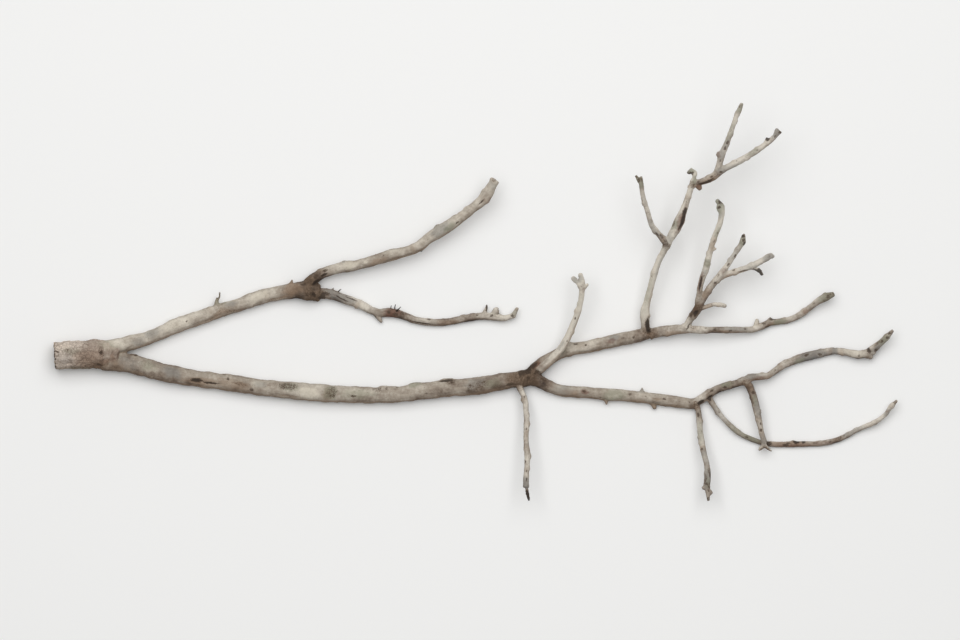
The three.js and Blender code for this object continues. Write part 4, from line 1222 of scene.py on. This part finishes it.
# the sawn end: its middle and the way it faces
def findSawnEnd(name):
    copy = mergedCopy(name)
    low = min(v.co.x for v in copy.verts)
    end = [f for f in copy.faces if f.normal.x < sawnEnd["facing"]
           and f.calc_center_median().x < low + skin["sawnEdgeKept"]]
    area = sum(f.calc_area() for f in end)
    facing = sum((f.normal * f.calc_area() for f in end), Vector()).normalized()
    middle = sum((f.calc_center_median() * f.calc_area() for f in end), Vector()) / area
    copy.free()
    return np.array(middle), np.array(facing)


# checks and saw marks on the sawn face, and notches where the bark broke away at its edge
def carveSawnEnd(on, gap):
    inward = smoothStep(1 - gap / (sawnEnd["faceDepth"] * mm))
    radius, girth = np.hypot(on["place"][:, 0], on["place"][:, 1]), on["girth"]
    strokes = on["place"] @ sawnEnd["sawWay"] * 2 * math.pi / (sawnEnd["sawGap"] * mm)
    height = sawnEnd["sawDepth"] * np.sin(strokes) * inward
    for side in sawnEnd["checks"]:
        away = turnFrom(on, side)
        across = np.abs(np.sin(away)) * radius + np.where(np.cos(away) < 0, 1, 0)
        split = smoothStep(1.5 - across / (sawnEnd["checkWidth"] * mm / 2))
        split *= smoothStep(radius / (0.3 * girth))
        height -= sawnEnd["checkDepth"] * split * inward
    ragged = np.sin(7 * on["turn"] + 1) + np.sin(13 * on["turn"] + 2.1) + np.sin(23 * on["turn"] + 0.7)
    rim = smoothStep((radius / girth - sawnEnd["rim"]) / sawnEnd["rimFade"])
    notch = smoothStep(ragged - 0.3) * rim * smoothStep(1 - gap / (sawnEnd["notchReach"] * mm))
    return (height - sawnEnd["notchDepth"] * notch) * mm, notch


# swollen nodes along the young wood, in millimetres
nodes = {"gap": 26.0, "gapSpread": 18.0, "swelling": 1.0, "length": 3.2, "thickest": 5.5, "brown": 0.45,
         "girthReach": 1.3, "leastAllRound": 0.25, "sizes": (0.5, 1.2), "Seed": 3}


def swellNodes(on, trace, order):
    chance = np.random.default_rng(nodes["Seed"] + order)
    swollen = np.zeros(len(on["along"]))
    at = nodes["gap"] * mm
    while at < trace["length"]:
        leans = smoothStep((np.cos(on["turn"] - chance.uniform(-math.pi, math.pi)) + 0.3) / 1.3)
        close = np.exp(-((on["along"] - at) / (nodes["length"] * mm)) ** 2)
        swollen += close * (nodes["leastAllRound"] + leans) * chance.uniform(*nodes["sizes"])
        at += (nodes["gap"] + nodes["gapSpread"] * chance.uniform()) * mm
    return swollen * smoothStep(2 - on["girth"] / (nodes["thickest"] * mm))


surfaces = {name: BVHTree.FromBMesh(mergedCopy(name)) for name in limbs}
traces = {name: traceLimb(name, limb["growsFrom"], surfaces) for name, limb in limbs.items()}
print("traced", len(traces), "limbs")

branch = growSkin()
points = readPoints(branch.data)
owner = limbOfEach(points, traces, surfaces)
print("grew the skin:", len(points), "points")

names = list(limbs)
fields = {key: np.zeros(len(points)) for key in (*maskNames, "height", "paleness", "crazed", "girth",
                                                 "clearOfFork", "softness")}
fields["limbPlace"] = np.zeros((len(points), 3))
for i, name in enumerate(names):
    limb, trace, mine = limbs[name], traces[name], owner == i
    on = placeOnLimb(points[mine], trace)
    share = on["along"] / trace["length"]
    fields["paleness"][mine] = np.interp(share, *zip(*limb["paleness"]))
    fields["crazed"][mine] = np.interp(share, *zip(*limb.get("crazed", [(0, 0)])))
    fields["girth"][mine] = on["girth"]
    fields["limbPlace"][mine] = on["place"] + [0, 0, skin["limbGap"] * i]
    reach = skin["forkReach"] * on["girth"]
    fromBase = on["along"] / reach if limb["growsFrom"] else np.ones(len(reach))
    fields["clearOfFork"][mine] = smoothStep(fromBase) * smoothStep((trace["length"] - on["along"]) / reach)
    stub = on["out"] > skin["stubReach"] * on["girth"]
    soft = np.clip((on["girth"] / skin["fullSmoothGirth"]) ** 2, skin["leastSmoothing"], 1)
    fields["softness"][mine] = np.where(stub, skin["leastSmoothing"], soft)
    swollen = swellNodes(on, trace, i) * (on["out"] < nodes["girthReach"] * on["girth"])
    fields["height"][mine] += swollen * nodes["swelling"] * mm
    fields["brown"][mine] = np.maximum(fields["brown"][mine], nodes["brown"] * swollen)
    family = [k for k, other in enumerate(names)
              if other == limb["growsFrom"] or limbs[other]["growsFrom"] == name or k == i]
    painted = np.nonzero(np.isin(owner, family))[0]
    on = placeOnLimb(points[painted], trace)
    close = (owner[painted] == i) | (on["out"] < skin["paintReach"] * on["girth"])
    painted, on = painted[close], {key: values[close] for key, values in on.items()}
    for key, values in paintMarks(limb, on, trace).items():
        if key == "height":
            fields[key][painted] += values
        else:
            fields[key][painted] = np.maximum(fields[key][painted], values)
endMiddle, endFacing = findSawnEnd("butt")
ofButt = owner == 0
fields["sawnGap"] = np.where(ofButt, (endMiddle - points) @ endFacing, 1.0)
fields["softness"][ofButt] *= np.clip(fields["sawnGap"][ofButt] / skin["sawnEdgeKept"], 0.02, 1)
carved, notched = carveSawnEnd(placeOnLimb(points[ofButt], traces["butt"]), fields["sawnGap"][ofButt])
fields["height"][ofButt] += carved
fields["dark"][ofButt] = np.maximum(fields["dark"][ofButt], sawnEnd["notchDark"] * notched)
for key, values in fields.items():
    writeAttribute(branch.data, key, values)

applyTree(branch, makeSmoothingTree(), {"Steps": skin["smoothSteps"], "Tint Steps": skin["tintSteps"],
                                        "Shrink": skin["shrinkBack"], "Material": materials["limb_bark"]})
applyTree(branch, makeBarkTree(), {**bark, "Material": materials["limb_bark"]})
fields.update({"raised": None, "cracked": None, "weather": None})  # the bark tree stored these
print("raised the bark")


# small corky pores on the bark, lengths in millimetres
pores = {
    "Length": 1.5, "Width": 0.9, "Height": 0.35, "Spacing": 6.0, "Seed": 11, "bark": "twig_bark",
    "thickest": 9.0, "leastHeight": 2.0, "mostDark": 0.2, "mostPerSquareMetre": 60000.0, "sizes": (0.55, 1.3),
    "sides": 8, "levels": ((0.9, -0.6), (1.0, 0.0), (0.75, 0.65), (0.3, 0.85)), "top": 0.7, "bottom": -0.8,
}


def makePoreShape():
    n, levels = pores["sides"], pores["levels"]
    turns = [2 * math.pi * k / n for k in range(n)]
    corners = [(r * math.cos(turn), r * math.sin(turn), z) for r, z in levels for turn in turns]
    corners += [(0, 0, pores["top"]), (0, 0, pores["bottom"])]
    top, faces = len(levels) * n, []
    for k in range(n):
        after = (k + 1) % n
        faces += [(low + k, low + after, low + n + after, low + n + k) for low in range(0, top - n, n)]
        faces += [(top - n + k, top - n + after, top), (after, k, top + 1)]
    mesh = bpy.data.meshes.new("pore")
    mesh.from_pydata(corners, [], faces)
    mesh.shade_smooth()
    return addObject("pore", mesh)


def makePoreTree(shape):
    tree, given = newShapeTree("scatter the pores", [("Length", "Float", 1.0), ("Width", "Float", 1.0),
                               ("Height", "Float", 1.0), ("Spacing", "Float", 4.0), ("Seed", "Integer", 1)])
    spread = addNode(tree, "GeometryNodeDistributePointsOnFaces", {
        "Mesh": given["Geometry"], "Seed": given["Seed"], "Distance Min": times(tree, given["Spacing"], mm),
        "Density Max": pores["mostPerSquareMetre"], "Density Factor": readField(tree, "poreShare"),
    }, distribute_method="POISSON")
    caught = addNode(tree, "GeometryNodeSampleNearestSurface", {
        "Mesh": given["Geometry"], "Value": readField(tree, "ahead", "FLOAT_VECTOR")}, data_type="FLOAT_VECTOR")
    ahead = next(s for s in caught.outputs if s.enabled)
    upright = addNode(tree, "FunctionNodeAlignRotationToVector", {"Vector": spread.outputs["Normal"]}, axis="Z")
    lying = addNode(tree, "FunctionNodeAlignRotationToVector",
                    {"Rotation": upright.outputs[0], "Vector": ahead}, axis="X", pivot_axis="Z")
    size = addNode(tree, "ShaderNodeCombineXYZ", {0: times(tree, given["Length"], 0.5 * mm),
                                                  1: times(tree, given["Width"], 0.5 * mm),
                                                  2: times(tree, given["Height"], mm)})
    least, most = pores["sizes"]
    chance = addNode(tree, "FunctionNodeRandomValue", {"Seed": given["Seed"], 2: least, 3: most},
                     data_type="FLOAT")
    scale = vectorMaths(tree, "SCALE", size.outputs[0], next(s for s in chance.outputs if s.enabled))
    copied = addNode(tree, "GeometryNodeObjectInfo", {"Object": shape})
    placed = addNode(tree, "GeometryNodeInstanceOnPoints", {
        "Points": spread.outputs["Points"], "Instance": copied.outputs["Geometry"],
        "Rotation": lying.outputs[0], "Scale": scale})
    return finishTree(tree, placed.outputs[0], given["Material"])


# the inputs of a tree that its dictionary gives, and its material
def inputsFrom(values, wanted):
    return {**{name: values[name] for name in wanted}, "Material": materials[values["bark"]]}


def scatterPores():
    mesh = branch.data
    places = readPoints(mesh)
    thick = readAttribute(mesh, "girth") / (pores["thickest"] * mm)
    free = (readAttribute(mesh, "dark") < pores["mostDark"]) & (places[:, 2] > pores["leastHeight"] * mm)
    writeAttribute(mesh, "poreShare", (smoothStep(1.6 - thick) * free).astype(float))
    ahead = np.zeros((len(places), 3))
    for i, name in enumerate(names):
        mine, trace = owner == i, traces[name]
        along = placeOnLimb(places[mine], trace)["along"]
        ahead[mine] = readSteps(trace, np.diff(trace["axis"], axis=0), along)
    writeAttribute(mesh, "ahead", ahead)
    shape = makePoreShape()
    scattered = addObject("bark_pores", mesh.copy())
    wanted = inputsFrom(pores, ("Length", "Width", "Height", "Spacing", "Seed"))
    applyTree(scattered, makePoreTree(shape), wanted)
    bpy.data.objects.remove(shape)
    return scattered


# hair-thin dead twiglets: the limb, share of its length, side, length in millimetres and lean in degrees
twiglets = {
    "Thickness": 2.2, "Tip": 0.8, "Kink": 0.7, "Sides": 8, "Seed": 5, "bark": "twig_bark", "dark": 0.95,
    "paleness": 0.1, "points": 9, "kinkScale": 420.0, "kinkReach": 6 * mm, "rootDepth": 0.4,
    "grown": [("upper_twig", 0.375, 72, 6, 20), ("upper_twig", 0.392, 66, 8, 5),
              ("upper_twig", 0.398, 60, 8, 38), ("upper_twig", 0.36, 50, 7, 62),
              ("upper_twig", 0.1, 80, 4, 15), ("upper_spur", 0.53, -85, 3, 30)],
}


def makeTwigletTree():
    tree, given = newShapeTree("grow the twiglets", [("Thickness", "Float", 1.0), ("Tip", "Float", 0.3),
                               ("Kink", "Float", 0.5), ("Sides", "Integer", 8), ("Seed", "Integer", 1)])
    line = addNode(tree, "GeometryNodeMeshToCurve", {"Mesh": given["Geometry"]})
    curve = addNode(tree, "GeometryNodeResampleCurve", {"Curve": line.outputs[0], "Count": twiglets["points"]})
    share = addNode(tree, "GeometryNodeSplineParameter").outputs["Factor"]
    place = addNode(tree, "GeometryNodeInputPosition").outputs[0]
    bend = addNode(tree, "ShaderNodeTexNoise", {"Vector": place, "W": given["Seed"],
                                                "Scale": twiglets["kinkScale"]}, noise_dimensions="4D")
    reach = times(tree, given["Kink"], twiglets["kinkReach"], share)
    bothWays = vectorMaths(tree, "SUBTRACT", bend.outputs["Color"], (0.5, 0.5, 0.5))
    shift = vectorMaths(tree, "SCALE", bothWays, reach)
    bent = setPosition(tree, curve.outputs[0], "Offset", shift)
    thin = addNode(tree, "ShaderNodeMapRange", {"Value": share, 3: times(tree, given["Thickness"], 0.5 * mm),
                                                4: times(tree, given["Tip"], 0.5 * mm)})
    ring = addNode(tree, "GeometryNodeCurvePrimitiveCircle", {"Resolution": given["Sides"], "Radius": 1.0})
    tube = addNode(tree, "GeometryNodeCurveToMesh", {"Curve": bent, "Profile Curve": ring.outputs[0],
                                                     "Scale": thin.outputs[0], "Fill Caps": True})
    smooth = addNode(tree, "GeometryNodeSetShadeSmooth", {"Geometry": tube.outputs[0]}).outputs[0]
    shape = storeFields(tree, smooth, {name: twiglets[name] for name in ("dark", "paleness")})
    return finishTree(tree, shape, given["Material"])


def growTwiglets():
    corners, edges = [], []
    for limb, at, side, length, lean in twiglets["grown"]:
        trace, turn, tilt = traces[limb], math.radians(side), math.radians(lean)
        along = at * trace["length"]
        near, past = (np.array([np.interp(s, trace["lengths"], trace["axis"][:, k]) for k in range(3)])
                      for s in (along, along + 3 * mm))
        ahead = unit(past - near)
        left, top = acrossLimb(ahead)
        out = math.sin(turn) * left + math.cos(turn) * top
        way = math.cos(tilt) * out + math.sin(tilt) * ahead
        girth = np.interp(along, trace["lengths"], trace["girths"])
        start = near + out * (1 - twiglets["rootDepth"]) * girth
        corners += [start, start + way * (twiglets["rootDepth"] * girth + length * mm)]
        edges.append((len(corners) - 2, len(corners) - 1))
    mesh = bpy.data.meshes.new("twiglets")
    mesh.from_pydata(corners, edges, [])
    grown = addObject("dry_twiglets", mesh)
    wanted = inputsFrom(twiglets, ("Thickness", "Tip", "Kink", "Sides", "Seed"))
    return applyTree(grown, makeTwigletTree(), wanted)


scattered, grown = scatterPores(), growTwiglets()
print("scattered", len(scattered.data.polygons), "faces of pores and grew the twiglets")


# the limb that each face goes with, in one patch for each limb
def limbOfFaces(mesh, owner):
    corners, starts = faceCorners(mesh)
    found = owner[corners[starts]]
    sides = np.empty(len(mesh.edges) * 2, np.int32)
    mesh.edges.foreach_get("vertices", sides)
    edgeOf = np.empty(len(mesh.loops), np.int32)
    mesh.loops.foreach_get("edge_index", edgeOf)
    faceOf = np.repeat(np.arange(len(starts)), np.diff(np.append(starts, len(corners))))
    order = np.argsort(edgeOf, kind="stable")
    pairs = faceOf[order].reshape(-1, 2)  # the skin is closed, so each edge has two faces
    while True:
        patch = np.arange(len(found))
        same = pairs[found[pairs[:, 0]] == found[pairs[:, 1]]]
        while True:
            low = np.minimum(patch[same[:, 0]], patch[same[:, 1]])
            np.minimum.at(patch, same[:, 0], low)
            np.minimum.at(patch, same[:, 1], low)
            patch = patch[patch]
            if (patch[same[:, 0]] == patch[same[:, 1]]).all():
                break
        sizes = np.bincount(patch, minlength=len(found))
        biggest = {k: np.bincount(patch[found == k]).max() for k in np.unique(found)}
        stray = sizes[patch] < np.array([biggest.get(k, 0) for k in range(len(limbs))])[found]
        if not stray.any():
            return found
        border = pairs[stray[pairs[:, 0]] != stray[pairs[:, 1]]]
        border = np.where(stray[border[:, 0]][:, None], border, border[:, ::-1])
        found[border[:, 0]] = found[border[:, 1]]


# closes the hole that a cut leaves, with a fan of faces round its middle
def closeCuts(mesh):
    whole = bmesh.new()
    whole.from_mesh(mesh)
    waiting = dict.fromkeys(edge for edge in whole.edges if edge.is_boundary)
    while waiting:
        rim, ends = [], [waiting.popitem()[0]]
        while ends:
            edge = ends.pop()
            rim.append(edge)
            for vertex in edge.verts:
                for other in vertex.link_edges:
                    if other in waiting:
                        waiting.pop(other)
                        ends.append(other)
        middle = sum((edge.verts[0].co + edge.verts[1].co for edge in rim), Vector()) / (2 * len(rim))
        hub = whole.verts.new(middle)
        for edge in rim:
            loop = edge.link_loops[0]
            whole.faces.new((loop.link_loop_next.vert, loop.vert, hub))
    whole.to_mesh(mesh)
    whole.free()


def cutPieces(skinned, owner):
    mesh = skinned.data
    points, normals = readPoints(mesh), readNormals(mesh)
    corners, starts = faceCorners(mesh)
    found = limbOfFaces(mesh, owner)
    kept = {key: readAttribute(mesh, key) for key in fields}
    quads = corners.reshape(-1, 4)
    pieces = {}
    for i, name in enumerate(limbs):
        faces = quads[found == i]
        used, renamed = np.unique(faces, return_inverse=True)
        piece = bpy.data.meshes.new(name)
        piece.from_pydata(points[used], [], renamed.reshape(-1, 4))
        for key, values in kept.items():
            writeAttribute(piece, key, values[used])
        closeCuts(piece)
        piece.shade_smooth()
        added = np.zeros((len(piece.vertices) - len(used), 3))
        piece.normals_split_custom_set_from_vertices(np.vstack([normals[used], added]))
        pieces[name] = addObject(name + "_bark", piece)
    bpy.data.objects.remove(skinned)
    return pieces


pieces = cutPieces(branch, owner)
print("cut into", len(pieces), "pieces")


for name, piece in pieces.items():
    piece.data.materials.clear()
    piece.data.materials.append(materials[limbs[name]["bark"]])
    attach(piece, "root")
    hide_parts(name)
for piece, finish in ((scattered, pores["bark"]), (grown, twiglets["bark"])):
    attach(piece, "root")
print("dressed the pieces")

# the floor and the light in the room, in metres and watts
stageLook = {
    "floorSize": 120.0,
    "floorColour": (0.86, 0.86, 0.852, 1),
    "floorRoughness": 0.9,
    "floorShine": 0.1,
    "skyColour": (1, 0.995, 0.985, 1),
    "skyStrength": 0.295,
    # place, width, depth and power of each soft light
    "lights": {"ceiling": ((0, 0.1, 2.6), 2.4, 2.4, 14.2), "window": ((-0.1, 2.3, 5.6), 7.0, 5.6, 296.0)},
}

floorMesh = bpy.data.meshes.new("floor")
half = stageLook["floorSize"] / 2
floorCorners = [(-half, -half, 0), (half, -half, 0), (half, half, 0), (-half, half, 0)]
floorMesh.from_pydata(floorCorners, [], [(0, 1, 2, 3)])
floor = addObject("floor", floorMesh)
floorMaterial = bpy.data.materials.new("pale paper")
floorMaterial.use_nodes = True
floorShader = floorMaterial.node_tree.nodes["Principled BSDF"]
floorShader.inputs["Base Color"].default_value = stageLook["floorColour"]
floorShader.inputs["Roughness"].default_value = stageLook["floorRoughness"]
floorShader.inputs["Specular IOR Level"].default_value = stageLook["floorShine"]
floorMesh.materials.append(floorMaterial)

world = bpy.data.worlds.new("soft room")
world.use_nodes = True
sky = world.node_tree.nodes["Background"]
sky.inputs["Color"].default_value = stageLook["skyColour"]
sky.inputs["Strength"].default_value = stageLook["skyStrength"]
bpy.context.scene.world = world

for name, (place, width, depth, power) in stageLook["lights"].items():
    light = bpy.data.lights.new(name, "AREA")
    light.shape = "RECTANGLE"
    light.size, light.size_y, light.energy = width, depth, power
    lamp = addObject(name, light)
    lamp.location = place
    lamp.rotation_euler = (-lamp.location).to_track_quat("-Z", "Y").to_euler()
    lamp.visible_camera = False

bpy.context.scene.view_settings.view_transform = "Standard"

# straight above the branch, in metres, with the lens and the sensor in millimetres
cameraView = {"above": 24.0, "middle": (0.0054, -0.0232), "width": 1.2538, "sensor": 36.0}
camera = bpy.data.cameras.new("camera")
camera.sensor_width = cameraView["sensor"]
camera.lens = cameraView["sensor"] * cameraView["above"] / cameraView["width"]
view = addObject("camera", camera)
view.location = (*cameraView["middle"], cameraView["above"])
bpy.context.scene.camera = view
